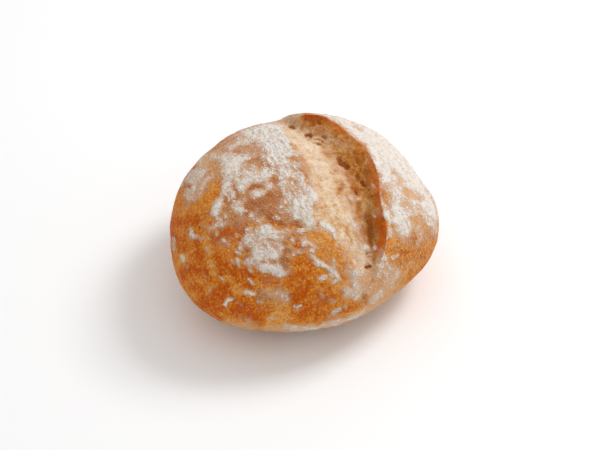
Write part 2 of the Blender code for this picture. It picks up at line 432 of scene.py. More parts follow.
# ---- flour: (outline, amount, softness in pixels) ----
FLOUR_AREAS = (
    # along the crown, left of the slash
    (
        [(240, 131), (250, 127), (262, 124), (276, 122), (282, 125), (285, 133), (290, 141), (292, 148),
         (290, 155), (288, 160), (289, 166), (293, 172), (299, 177), (297, 182), (290, 179), (284, 178), (280, 173),
         (276, 167), (267, 163), (267, 156), (265, 150), (260, 145), (252, 140), (245, 136)], 0.97, 2.2,
    ),
    ([(212, 150), (219, 143), (229, 137), (240, 132), (250, 139), (258, 144), (246, 145), (238, 148), (228, 153),
      (218, 158), (211, 160)], 0.34, 4.0),
    ([(262, 147), (270, 154), (276, 165), (272, 167), (264, 160)], 0.30, 3.0),
    ([(240, 141), (250, 139), (262, 142), (269, 152), (273, 165), (269, 172), (256, 172), (244, 170), (238, 162),
      (234, 154), (228, 152), (225, 146)], 0.44, 3.0),
    ([(219, 143), (228, 135), (243, 131), (246, 136), (232, 143), (222, 148)], 0.46, 2.5),
    ([(288, 150), (298, 152), (306, 158), (310, 169), (301, 174), (291, 173), (287, 162)], 0.46, 2.5),
    # the crown's left
    (
        [(218, 159), (222, 155), (230, 154), (237, 156), (243, 155), (249, 157), (249, 160), (246, 163), (243, 166),
         (242, 169), (249, 171), (257, 170), (265, 169), (271, 169), (274, 172), (270, 177), (266, 181), (260, 183),
         (252, 183), (247, 186), (243, 190), (239, 189), (236, 185), (232, 182), (229, 187), (224, 188), (222, 183),
         (223, 173), (221, 165)], 0.86, 2.4,
    ),
    ([(226, 158), (238, 159), (247, 159), (240, 165), (238, 170), (231, 170), (226, 164)], 0.75, 3.0),
    ([(268, 166), (276, 168), (284, 176), (290, 184), (292, 194), (284, 198), (277, 194), (272, 188), (276, 182)],
     0.40, 3.5),
    # far left
    (
        [(188, 174), (191, 170), (197, 168), (202, 170), (206, 174), (200, 178), (197, 184), (195, 190), (192, 196),
         (187, 199), (185, 195), (189, 189), (191, 185), (187, 181)], 0.62, 2.5,
    ),
    ([(183, 184), (192, 168), (204, 160), (213, 156), (214, 166), (208, 178), (200, 190), (190, 200), (183, 198)],
     0.30, 4.0),
    ([(196, 163), (203, 154), (213, 151), (219, 158), (223, 168), (223, 187), (215, 181), (208, 171), (200, 168)],
     0.36, 3.0),
    ([(194, 178), (204, 172), (210, 174), (206, 182), (198, 187), (192, 184)], 0.30, 2.5),
    ([(196, 160), (202, 155), (207, 156), (200, 164)], 0.40, 2.0),
    # thin, inside the crown's arch
    ([(232, 146), (240, 145), (236, 151), (231, 152)], 0.35, 2.0),
    ([(244, 142), (256, 142), (264, 152), (266, 162), (260, 172), (244, 171), (238, 165), (246, 158), (254, 156),
      (250, 150), (244, 149)], 0.20, 3.0),
    ([(258, 183), (266, 178), (278, 174), (284, 178), (274, 184), (270, 192), (262, 199), (258, 196)], 0.22, 2.5),
    ([(286, 200), (292, 198), (292, 210), (286, 210)], 0.35, 2.0),
    ([(292, 147), (297, 147), (301, 153), (298, 157), (293, 154)], 0.55, 2.0),
    ([(280, 228), (290, 232), (290, 241), (284, 240)], 0.35, 2.0),
    ([(340, 287), (350, 286), (348, 300), (342, 298)], 0.35, 2.5),
    ([(310, 298), (322, 296), (334, 300), (330, 304), (314, 306)], 0.08, 3.0),
    ([(304, 230), (322, 235), (338, 256), (328, 262), (308, 246)], 0.08, 5.0),
    ([(326, 258), (340, 262), (342, 276), (332, 280), (326, 270)], 0.18, 3.0),
    ([(262, 274), (284, 276), (284, 283), (262, 284)], 0.14, 3.0),
    # isles on the left
    ([(235, 186), (247, 186), (250, 196), (246, 206), (238, 203)], 0.34, 3.0),
    ([(221, 200), (232, 200), (234, 212), (230, 226), (222, 222)], 0.20, 3.0),
    ([(236, 213), (252, 214), (263, 213), (259, 222), (251, 231), (240, 233), (232, 226)], 0.20, 3.0),
    ([(205, 232), (214, 226), (232, 226), (236, 240), (226, 250), (212, 246)], 0.16, 4.0),
    ([(218, 196), (222, 195), (224, 199), (223, 204), (221, 209), (219, 215), (216, 218), (213, 217), (211, 212),
      (212, 206), (215, 201)], 0.95, 1.5),
    ([(233, 202), (238, 200), (243, 203), (243, 209), (241, 213), (236, 213), (233, 209)], 0.78, 2.0),
    ([(213, 218), (222, 214), (230, 218), (230, 225), (225, 228), (219, 229), (214, 230), (209, 229), (212, 224)],
     0.50, 2.5),
    # the middle patch
    (
        [(257, 220), (261, 219), (263, 225), (269, 228), (276, 231), (281, 232), (283, 237), (283, 242), (283, 247),
         (282, 252), (282, 257), (280, 260), (286, 266), (289, 271), (286, 275), (280, 276), (274, 273), (268, 271),
         (261, 271), (257, 269), (252, 266), (247, 265), (244, 261), (247, 258), (251, 255), (251, 250), (247, 247),
         (243, 246), (242, 241), (244, 235), (249, 230), (255, 229), (260, 227)], 0.66, 2.0,
    ),
    ([(261, 226), (268, 225), (275, 229), (283, 232), (280, 237), (274, 238), (264, 237), (258, 232)], 0.78, 2.0),
    ([(245, 239), (250, 236), (257, 242), (255, 248), (249, 246)], 0.55, 2.5),
    ([(253, 250), (262, 249), (271, 247), (281, 246), (281, 254), (275, 258), (266, 260), (257, 261), (252, 257)],
     0.70, 2.5),
    ([(257, 265), (263, 262), (271, 264), (279, 266), (285, 270), (285, 275), (279, 276), (272, 273), (264, 271)],
     0.95, 1.5),
    ([(273, 257), (282, 259), (291, 267), (289, 273), (280, 267)], 0.5, 2.5),
    ([(284, 226), (291, 228), (293, 233), (288, 236), (283, 232)], 0.30, 2.5),
    # above the middle patch, thin
    ([(240, 212), (256, 203), (272, 197), (290, 194), (291, 214), (280, 214), (262, 212), (250, 222)], 0.22, 4.0),
    # the ridge's lower end, against the crumb
    (
        [(291, 200), (297, 196), (303, 195), (309, 193), (313, 189), (318, 193), (319, 199), (313, 203), (312, 209),
         (313, 215), (315, 221), (316, 226), (310, 227), (304, 224), (299, 221), (295, 219), (292, 213), (292, 206)],
        0.97, 1.8,
    ),
    ([(283, 178), (296, 181), (308, 190), (306, 197), (294, 198), (286, 200), (284, 192)], 0.52, 2.6),
    ([(306, 224), (318, 226), (322, 230), (312, 231)], 0.45, 2.5),
    ([(277, 203), (290, 197), (295, 212), (296, 226), (301, 231), (290, 232), (283, 228), (277, 214)], 0.26, 3.0),
    # below
    ([(256, 293), (264, 289), (274, 290), (283, 289), (288, 293), (290, 300), (284, 303), (276, 298), (264, 298)],
     0.34, 3.5),
    ([(280, 287), (288, 289), (292, 298), (286, 301), (281, 295)], 0.30, 2.5),
    ([(216, 321), (234, 325), (250, 326), (272, 330), (262, 337), (236, 336)], 0.14, 5.0),
    # the loaf's rim, right of the front
    ([(262, 328), (290, 326), (318, 325), (336, 321), (352, 316), (366, 309), (374, 305), (384, 299), (398, 292),
      (404, 295), (380, 309), (352, 322), (318, 331), (280, 336)], 0.40, 2.5),
    # below the slash
    ([(347, 271), (352, 273), (358, 267), (363, 267), (363, 273), (358, 278), (353, 279), (349, 276)], 0.60, 2.2),
    ([(351, 290), (356, 283), (361, 284), (362, 290), (361, 297), (356, 300), (351, 297)], 0.36, 2.5),
    ([(344, 262), (362, 262), (378, 262), (398, 266), (404, 276), (392, 292), (374, 302), (356, 302), (346, 290)],
     0.32, 4.0),
    # right of the ear
    (
        [(322, 104), (344, 104), (364, 110), (386, 120), (404, 132), (420, 148), (434, 168), (446, 190), (449, 214),
         (436, 222), (428, 218), (423, 212), (419, 207), (413, 211), (410, 218), (411, 226), (411, 235), (406, 237),
         (400, 236), (397, 231), (395, 225), (391, 222), (386, 220), (382, 214), (380, 206), (378, 190), (379, 180),
         (373, 165), (367, 152), (357, 140), (347, 131), (340, 125), (330, 117)], 0.97, 1.8,
    ),
    ([(409, 205), (419, 203), (430, 211), (438, 222), (437, 240), (428, 244), (420, 238), (412, 230), (409, 218)],
     0.40, 3.0),
    ([(404, 200), (412, 201), (421, 205), (423, 212), (418, 216), (411, 214), (405, 208)], 0.62, 2.2),
    ([(424, 214), (434, 222), (434, 230), (427, 226)], 0.45, 2.0),
    ([(400, 238), (412, 238), (412, 246), (402, 246)], 0.26, 2.5),
    ([(383, 258), (392, 260), (394, 272), (386, 272)], 0.28, 2.5),
    ([(382, 184), (388, 186), (389, 193), (384, 194)], 0.12, 2.0),
    ([(432, 220), (439, 218), (440, 232), (434, 234)], 0.34, 2.0),
)
# ---- flour: (points, width in pixels, amount) ----
FLOUR_LINES = (
    ([(238, 143), (246, 141)], 6.5, 0.65),
    ([(232, 148), (236, 146)], 4.0, 0.4),
    ([(281, 184), (286, 183)], 4.5, 0.95),
    ([(266, 187), (272, 185)], 6.0, 0.98),
    ([(254, 195), (258, 192), (262, 191)], 8.0, 0.95),
    ([(230, 183), (226, 189), (222, 194)], 5.0, 0.75),
    ([(231, 190), (233, 197)], 5.0, 0.85),
    ([(238, 187), (243, 188)], 4.0, 0.6),
    ([(240, 209), (247, 213), (250, 216)], 4.6, 0.55),
    ([(231, 206), (236, 212), (243, 216), (250, 221)], 5.0, 0.5),
    ([(240, 191), (246, 187), (252, 183)], 4.6, 0.5),
    ([(225, 191), (229, 200)], 4.4, 0.6),
    ([(186, 205), (197, 196), (208, 185), (214, 175)], 7.0, 0.36),
    ([(266, 171), (272, 177), (276, 176)], 5.0, 0.4),
    ([(246, 229), (251, 228)], 4.4, 0.7),
    ([(203, 223), (207, 228)], 5.0, 0.2),
    ([(249, 214), (250, 216)], 3.5, 0.6),
    ([(202, 187), (205, 183), (208, 180)], 3.8, 0.6),
    ([(217, 229), (217, 235)], 3.2, 0.5),
    ([(191, 227), (192, 233)], 2.8, 0.72),
    ([(191.5, 235), (194, 237)], 4.8, 0.9),
    ([(202, 238), (206, 240)], 3.0, 0.25),
    ([(173.5, 238), (174, 249)], 3.8, 0.5),
    ([(221.5, 239), (223.5, 241)], 3.0, 0.8),
    ([(226, 242), (229, 245)], 3.4, 0.2),
    ([(182.5, 256), (182.8, 260)], 4.0, 0.8),
    ([(187, 266), (187, 267)], 3.0, 0.4),
    ([(206, 248), (209, 253)], 3.0, 0.5),
    ([(239, 244), (241, 249)], 4.2, 0.8),
    ([(244, 262), (248, 266)], 4.6, 0.6),
    ([(236.5, 259), (238.5, 262), (239, 267)], 3.2, 0.8),
    ([(212, 264), (214, 266)], 2.4, 0.4),
    ([(204, 275), (206, 277)], 3.0, 0.35),
    ([(221, 277), (223, 279.5)], 3.2, 0.66),
    ([(210, 290), (212, 287)], 2.6, 0.4),
    ([(249, 270), (250.5, 272)], 3.4, 0.9),
    ([(249.5, 278), (251, 281), (252.5, 284)], 2.8, 0.72),
    ([(246.5, 292), (249, 293.5)], 4.6, 1.0),
    ([(249, 293.5), (254, 294)], 4.0, 1.0),
    ([(245, 294.5), (247, 295)], 2.4, 0.55),
    ([(225.5, 304.5), (226.5, 302), (228, 300)], 2.6, 1.0),
    ([(227.5, 299.5), (230, 300), (232.5, 299)], 2.8, 1.0),
    ([(235, 303), (237, 302)], 1.8, 0.4),
    ([(240, 303.5), (242, 303.5)], 2.2, 0.45),
    ([(258, 301), (263, 302)], 3.6, 0.4),
    ([(294, 306), (297, 307), (300, 304.5)], 2.8, 0.72),
    ([(297, 308), (298, 311)], 2.6, 0.4),
    ([(269, 318), (273, 319)], 5.0, 0.36),
    ([(333, 312), (340, 309)], 3.4, 0.55),
    ([(278, 217.5), (282, 216)], 3.8, 0.9),
    ([(292.5, 239), (294, 242)], 3.8, 0.75),
    ([(290, 246), (292, 249)], 4.0, 0.4),
    ([(283, 248), (285, 247)], 3.6, 0.3),
    ([(289, 255), (296, 253), (303, 251)], 6.0, 0.36),
    ([(298, 230.5), (303, 230), (309, 229.5)], 4.0, 0.75),
    ([(258, 219), (264, 218)], 4.0, 0.4),
    ([(272, 219), (276, 219)], 3.6, 0.4),
    ([(301, 233), (303, 236)], 2.6, 0.4),
    ([(304, 239.5), (305.5, 243.5)], 7.0, 1.0),
    ([(309, 243), (316, 247.5)], 3.6, 0.42),
    ([(310, 251), (313, 250.5)], 4.2, 0.75),
    ([(310, 255.5), (314, 257)], 4.0, 0.8),
    ([(311, 256), (314.5, 257)], 3.0, 0.5),
    ([(315.5, 254), (316, 259)], 2.0, 0.6),
    ([(317, 261.8), (321, 264)], 5.2, 1.0),
    ([(321, 264.8), (326, 266.3), (329.5, 268.3)], 3.8, 1.0),
    ([(329.5, 268.8), (333, 271.8), (336, 275.3)], 4.2, 1.0),
    ([(336, 275.3), (340, 279.8)], 2.8, 0.8),
    ([(336.5, 279.5), (332, 285)], 2.4, 0.7),
    ([(334, 260), (335, 267)], 2.4, 0.45),
    ([(321, 279), (325, 277.5)], 4.0, 0.85),
    ([(330, 274.5), (332.5, 277)], 4.0, 0.45),
    ([(314, 263), (317, 266)], 2.6, 0.5),
    ([(320, 293), (323, 296)], 3.2, 0.35),
    ([(324, 225), (329, 228), (333, 231)], 6.0, 1.0),
    ([(321, 221), (322, 224)], 3.2, 0.7),
    ([(334, 234), (336.5, 238.5)], 3.4, 0.92),
    ([(346, 288), (350, 291)], 4.4, 0.34),
    ([(382, 251), (383, 257), (386, 258)], 4.0, 0.85),
    ([(386.5, 237), (384, 246), (381, 259)], 3.6, 0.5),
    ([(386, 219), (389, 224)], 3.6, 0.5),
    ([(394, 228), (398, 235)], 3.6, 0.4),
    ([(379.5, 203), (381, 213)], 3.2, 0.7),
    ([(392, 257), (396, 257)], 4.0, 0.7),
    ([(378, 265), (382, 266)], 5.2, 0.9),
    ([(379, 271), (378, 277)], 3.6, 0.75),
    ([(384, 272), (387, 274)], 4.0, 0.4),
    ([(389, 279), (394, 276), (399, 272)], 4.4, 0.22),
    ([(374, 298), (380, 294)], 4.0, 0.25),
    ([(372, 301), (375, 301)], 4.0, 0.3),
    ([(363, 309), (368, 305)], 3.4, 0.3),
    ([(390, 228), (390, 237)], 4.2, 0.78),
    ([(419.5, 219), (420, 226)], 2.8, 0.62),
    ([(419.5, 239), (416, 246)], 4.6, 0.34),
    ([(402, 238), (404, 241)], 2.8, 0.4),
    ([(393, 232), (396, 238)], 2.6, 0.3),
    ([(236, 233), (237.5, 237)], 2.6, 0.6),
    ([(237, 252), (240, 254)], 3.6, 0.8),
    ([(232, 261), (234, 263)], 3.2, 0.36),
    ([(296, 234), (298, 238)], 3.4, 0.5),
    ([(315.5, 243), (316.5, 248)], 2.6, 0.4),
    ([(345, 291), (347, 296)], 4.0, 0.3),
    ([(345, 305), (347, 308)], 3.6, 0.4),
    ([(330, 299), (334, 302)], 4.0, 0.3),
    ([(371, 252), (373, 257)], 4.6, 0.6),
    ([(379, 251), (382, 259)], 6.0, 0.42),
    ([(386, 209), (388, 216)], 5.0, 0.60),
    ([(382, 208), (382, 215)], 3.6, 0.40),
    ([(330, 315), (341, 313)], 6.0, 0.30),
    ([(195, 236), (199, 238)], 4.0, 0.40),
    ([(418, 210), (423, 214)], 5.0, 0.36),
    ([(411, 218), (414, 224)], 5.0, 0.24),
    ([(248, 323), (256, 325)], 6.0, 0.18),
    ([(362, 292), (367, 292)], 6.0, 0.20),
    ([(187, 234), (190, 238)], 4.0, 0.22),
    ([(258, 308), (263, 309)], 6.0, 0.12),
    ([(186, 178), (190, 182)], 6.0, 0.25),
    ([(331, 265), (335, 271)], 4.0, 0.34),
    ([(350, 279), (356, 281)], 6.0, 0.26),
    ([(384.5, 246), (382, 253), (380, 258)], 2.6, 0.8),
    ([(184, 178), (182, 185)], 3.6, 0.5),
    ([(406, 266), (412, 262)], 3.6, 0.3),
    # round the bottom rim
    ([(228, 323), (238, 326), (252, 330)], 5.0, 0.22),
    ([(240, 317), (250, 320)], 6.0, 0.18),
    ([(286, 326), (296, 328), (304, 327)], 6.0, 0.45),
    ([(305, 327), (320, 326), (334, 323)], 4.0, 0.46),
    ([(334, 322), (346, 319), (358, 314)], 4.0, 0.45),
    ([(352, 318), (362, 312)], 3.4, 0.55),
    ([(370, 304), (376, 300)], 4.0, 0.25),
    ([(372, 300), (382, 292)], 4.0, 0.30),
    ([(352, 290), (358, 297)], 6.0, 0.35),
    ([(351, 283), (356, 288)], 5.0, 0.22),
    ([(388, 284), (396, 277)], 6.0, 0.18),
    # on the crumb
    ([(289, 134), (290, 142), (290, 150)], 5.0, 0.45),
    ([(300, 174), (303, 178)], 4.6, 0.95),
    ([(301, 181), (306, 187), (312, 190)], 6.0, 0.9),
    ([(292, 163), (298, 167)], 4.0, 0.62),
    ([(315, 168), (317, 173)], 3.0, 0.45),
    ([(345, 243), (349, 245)], 4.4, 0.5),
    ([(353, 249), (360, 245), (367, 246)], 7.0, 0.5),
    ([(356, 257), (362, 259)], 5.0, 0.4),
    ([(368.5, 256), (370, 261)], 5.0, 0.4),
    ([(369, 247), (371, 249)], 3.0, 0.6),
    ([(374, 247), (377, 246)], 3.8, 0.75),
    ([(373, 216), (376, 216)], 3.4, 0.62),
    ([(365, 177), (367, 179)], 3.0, 0.4),
    ([(371, 186), (374, 187)], 3.0, 0.4),
)
# ---- where the crust shows through ----
BARE_LINES = (
    ([(360, 144), (367, 151)], 5.0, 0.60),
    ([(369, 153), (373, 159)], 4.0, 0.30),
    ([(379, 175), (381, 190)], 5.0, 0.50),
    ([(297, 237), (303, 238)], 6.0, 0.45),
    ([(281, 236), (287, 236)], 5.0, 0.38),
    ([(394, 226), (398, 231)], 7.0, 0.30),
    ([(402, 203), (411, 212)], 7.0, 0.26),
    ([(258, 185), (263, 190)], 5.0, 0.24),
    ([(258, 291), (263, 293)], 6.0, 0.30),
    ([(305, 251), (309, 254)], 5.0, 0.30),
    ([(221, 143), (227, 141.5), (233, 140.5)], 8.0, 0.52),
    ([(242, 136), (244, 142)], 5.0, 0.16),
    ([(207, 158), (211, 161), (204, 167)], 6.0, 0.28),
    ([(211, 184), (216, 194)], 7.0, 0.60),
    ([(226, 198), (229, 206)], 4.0, 0.6),
    ([(249, 210), (245, 217), (250, 223)], 6.0, 0.8),
    ([(212, 218), (214, 221)], 4.0, 0.7),
    ([(221, 216), (224, 220)], 4.6, 0.7),
    ([(217, 229), (219, 232)], 4.0, 0.8),
    ([(228, 227), (225, 233), (220, 238)], 5.0, 0.85),
    ([(230, 216), (227, 226)], 4.0, 0.4),
    ([(254, 204), (260, 206), (262, 212)], 4.6, 0.5),
    ([(270, 215), (271, 220)], 5.4, 0.8),
    ([(281, 216), (283, 224), (292, 227), (296, 223)], 5.0, 0.7),
    ([(278, 190), (281, 196)], 5.0, 0.5),
    ([(268, 202), (272, 200)], 4.4, 0.5),
    ([(248, 195), (254, 193)], 4.0, 0.35),
    ([(184.5, 202), (185.5, 207)], 4.4, 0.6),
    ([(217, 186), (218, 197)], 5.0, 0.6),
    ([(182, 230), (188, 225), (194, 226)], 5.0, 0.6),
    ([(210, 247), (209, 254), (212, 262)], 5.0, 0.7),
    ([(282, 259), (284, 264), (286, 268)], 6.5, 0.75),
    ([(242.5, 258), (244, 261)], 4.4, 0.7),
    ([(346, 278), (350, 285)], 6.0, 0.6),
    ([(340, 254), (343, 263)], 8.0, 0.7),
    ([(353, 262), (356, 267)], 5.0, 0.4),
    ([(365, 296), (367, 302)], 6.0, 0.6),
    ([(303, 321), (318, 322)], 5.0, 0.6),
    ([(340, 315), (356, 310)], 6.0, 0.6),
    ([(414, 219), (421, 223), (428, 232), (430, 238)], 9.0, 0.56),
    ([(373, 280), (378, 281)], 5.0, 0.5),
    ([(396, 282), (399, 284)], 5.0, 0.5),
    ([(258, 292), (264, 295)], 5.0, 0.6),
    ([(270, 300), (273, 306)], 5.0, 0.6),
    ([(235, 152), (240, 149), (248, 147)], 5.0, 0.38),
    ([(252, 148), (259, 150), (261, 158)], 8.0, 0.32),
    ([(246, 164), (254, 162), (262, 164)], 6.0, 0.5),
    ([(268, 166), (276, 166)], 3.4, 0.55),
    ([(240, 171), (241, 178)], 4.0, 0.45),
    ([(234, 183), (235, 188)], 4.0, 0.5),
    ([(272, 177), (277, 183)], 6.0, 0.6),
    ([(186, 186), (189, 187)], 5.6, 0.85),
    ([(191, 169), (195, 168)], 2.6, 0.7),
    ([(205, 176), (208, 171), (211, 176)], 2.6, 0.5),
    ([(213, 165), (218, 178), (217, 190)], 7.0, 0.8),
    ([(209, 163), (211, 170)], 5.0, 0.5),
    ([(264, 240), (273, 240), (282, 243)], 3.6, 0.42),
    ([(271, 244), (277, 250)], 3.6, 0.35),
    ([(262, 243), (266, 247)], 2.6, 0.25),
    ([(262, 262), (271, 263), (279, 262)], 3.2, 0.45),
    ([(293, 158), (299, 158.5), (305, 161), (307, 168), (308, 173)], 6.0, 0.35),
    ([(300, 168), (305, 172)], 5.0, 0.4),
    ([(301, 171), (308, 175)], 3.2, 0.7),
    ([(291, 179), (296, 182)], 5.0, 0.5),
    ([(306, 180), (308, 182)], 4.0, 0.6),
    ([(290, 144), (295, 148)], 3.4, 0.85),
    ([(288, 189), (293, 194)], 4.0, 0.4),
    ([(302, 205), (303, 214)], 2.0, 0.25),
    ([(330, 109), (348, 114), (364, 122)], 9.0, 0.28),
    ([(385, 187), (387, 197), (387, 206)], 8.0, 0.60),
    ([(383, 194), (386, 201)], 7.0, 0.75),
    ([(256, 187.5), (265, 188)], 4.0, 0.6),
    ([(382, 207), (383, 212)], 3.0, 0.5),
    ([(393, 172), (398, 176), (401, 182)], 5.0, 0.34),
    ([(399, 184), (404, 190), (408, 202), (410, 208)], 6.0, 0.52),
    ([(406, 192), (412, 195), (419, 198)], 7.0, 0.56),
    ([(401, 200), (404, 208)], 4.5, 0.32),
    ([(391, 183), (393, 190)], 4.0, 0.22),
    ([(416, 206), (422, 212)], 4.0, 0.3),
    ([(355, 127), (362, 131)], 3.4, 0.3),
    ([(390, 203), (392, 218)], 3.4, 0.3),
    ([(406, 222), (407, 230)], 2.4, 0.2),
    ([(424, 188), (428, 194)], 2.4, 0.3),
    ([(432, 198), (436, 212), (437, 226)], 2.0, 0.35),
)
# ---- how brown the crust is, from 0 golden to 1 dark; a few lines paint shade in the hollow and light on shaded parts of the slash ----
TOAST_LEVEL = 0.50
DARK_AND_SHADE_LINES = (
    ([(272, 307), (279, 309)], 8.0, 0.36),
    # painted shade: the dark strip deep in the hollow under the ear's lower end
    ([(371, 228), (371.4, 238), (371, 246)], 5.0, 0.5),
    ([(304, 117), (314, 116), (325, 119)], 8.0, 0.9),
    ([(316, 119), (320, 122)], 5.0, 0.6),
    ([(222, 300), (240, 306), (258, 312)], 30.0, 0.38),
    ([(296, 290), (310, 300), (322, 302)], 26.0, 0.40),
    ([(250, 240), (262, 250), (275, 262)], 26.0, 0.30),
    ([(384, 192), (388, 204)], 8.0, 0.35),
    ([(175, 222), (186, 223), (195, 217)], 9.0, 0.9),
    ([(173, 232), (178, 246)], 8.0, 0.95),
    ([(184, 238), (184, 250)], 7.0, 0.7),
    ([(197, 240), (199, 252), (199, 262)], 8.0, 0.9),
    ([(188, 268), (196, 271), (207, 273)], 10.0, 1.0),
    ([(182, 272), (185, 279)], 6.0, 0.9),
    ([(194, 286), (200, 288)], 8.0, 0.95),
    ([(203, 303), (212, 300), (216, 293), (225, 290)], 12.0, 1.0),
    ([(209, 309), (218, 307)], 8.0, 0.6),
    ([(227, 304), (233, 303)], 6.0, 0.85),
    ([(236, 310), (243, 302), (247, 309), (253, 313)], 12.0, 1.0),
    ([(256, 316), (262, 323)], 8.0, 0.85),
    ([(217, 255), (220, 265), (222, 273)], 7.5, 1.0),
    ([(224, 262), (226, 267)], 6.0, 0.7),
    ([(229, 265), (236, 274), (240, 278)], 7.5, 1.0),
    ([(240, 270), (247, 275)], 7.0, 0.9),
    ([(222, 236), (228, 232), (236, 228)], 9.0, 0.95),
    ([(239, 222), (243, 230)], 7.0, 0.5),
    ([(239, 282), (249, 286)], 6.0, 0.75),
    ([(250, 275), (262, 278), (275, 282)], 7.0, 0.75),
    ([(269, 214), (273, 221), (284, 223), (293, 222), (299, 224)], 7.0, 0.8),
    ([(293, 223), (299, 224)], 6.0, 0.7),
    ([(268, 197), (269, 202)], 8.0, 0.55),
    ([(255, 201), (258, 207), (268, 214)], 6.0, 0.5),
    ([(294, 297), (301, 292), (308, 288)], 12.0, 1.0),
    ([(297, 301), (303, 303)], 8.0, 0.6),
    ([(296, 275), (302, 275)], 6.0, 0.7),
    ([(299, 257), (302, 262), (296, 264)], 6.0, 0.6),
    ([(303, 318), (309, 310)], 9.0, 0.7),
    ([(281, 262), (284, 263)], 7.0, 0.7),
    ([(213, 236), (217, 250)], 6.0, 0.6),
    ([(206, 276), (214, 283)], 7.0, 0.6),
    ([(191, 218), (195, 222)], 8.0, 0.5),
    ([(203, 212), (205, 214)], 6.0, 0.4),
    ([(296, 244), (298, 247)], 5.0, 0.5),
    ([(297, 231), (300, 236)], 4.0, 0.4),
    ([(299, 318), (322, 316)], 10.0, 0.3),
    ([(340, 311), (356, 307)], 7.0, 0.35),
    ([(320, 305), (332, 296)], 9.0, 0.25),
    ([(184, 300), (200, 312)], 9.0, 0.5),
    ([(172, 226), (171, 240)], 4.0, 0.5),
    ([(213, 149), (219, 146)], 6.0, 0.6),
    ([(404, 252), (420, 256)], 10.0, 0.25),
    ([(255, 186), (262, 186)], 6.0, 0.5),
    ([(364, 296), (366, 302)], 4.0, 0.7),
    ([(404, 250), (424, 246), (434, 232)], 26.0, 0.25),
    ([(316, 323.5), (320, 324.5)], 3.0, 0.60),
    ([(337, 311.5), (345, 309.5)], 4.5, 0.80),
    ([(270, 330), (290, 331)], 3.4, 0.50),
    ([(350, 310), (356, 308)], 4.0, 0.50),
    ([(232, 196), (246, 206), (262, 207), (278, 207), (288, 214)], 18.0, 0.75),
    ([(226, 151), (250, 147), (262, 152), (265, 166)], 13.0, 0.36),
    ([(270, 172), (278, 184)], 12.0, 0.5),
    ([(258, 192), (272, 196)], 9.0, 0.4),
)
GOLD_AND_LIGHT_LINES = (
    # painted light lifting the shade on the wall at the slash's far end
    ([(281, 120), (290, 116), (299, 114)], 9.0, 0.80),
    # painted light lifting the shade in the valley above the hollow
    ([(359, 212), (365, 214), (367, 220)], 7.0, 0.6),
    ([(296, 138), (306, 146), (314, 156)], 13.0, 0.22),
    # painted light lifting the shade on the wall at the slash's far end
    ([(284, 123), (292, 122), (300, 123)], 7.0, 0.9),
    # lighter on the wall above the hollow
    ([(361, 202), (367, 206), (374, 210)], 12.0, 0.8),
    # painted light lifting the shade on the ear's inside
    ([(375, 220), (377, 232), (377, 246)], 7.0, 0.9),
    ([(196, 206), (205, 202)], 12.0, 0.2),
    ([(184, 208), (184, 216)], 8.0, 0.4),
    ([(205, 240), (210, 252)], 8.0, 0.5),
    ([(210, 262), (213, 273)], 6.0, 0.7),
    ([(208, 289), (213, 286)], 7.0, 0.7),
    ([(224, 277), (232, 284), (241, 292)], 8.0, 0.45),
    ([(184, 254), (183, 262)], 10.0, 0.4),
    ([(214, 165), (217, 178), (215, 184)], 9.0, 0.38),
    ([(203, 166), (208, 160), (216, 150)], 12.0, 0.6),
    ([(278, 311), (284, 318), (271, 321)], 15.0, 0.9),
    ([(268, 292), (284, 297), (284, 304)], 13.0, 0.22),
    ([(332, 149), (342, 147.5), (351, 149)], 7.5, 0.62),
    ([(242, 252), (247, 254)], 8.0, 0.35),
    ([(312, 232), (322, 236), (332, 246), (342, 262)], 18.0, 0.45),
    ([(318, 252), (330, 256)], 12.0, 0.3),
    ([(385, 246), (400, 262), (390, 280)], 34.0, 0.38),
    ([(410, 225), (428, 232), (428, 246)], 26.0, 0.45),
    ([(360, 286), (376, 292), (392, 284)], 30.0, 0.35),
    ([(380, 286), (390, 290)], 12.0, 0.2),
    ([(386, 190), (386, 204)], 10.0, 0.35),
    ([(400, 186), (412, 200)], 20.0, 0.8),
    ([(228, 324), (256, 330), (300, 330), (350, 320), (400, 290)], 12.0, 0.8),
    ([(330, 280), (345, 284)], 8.0, 0.4),
    ([(303, 166), (306, 173)], 5.0, 0.4),
)
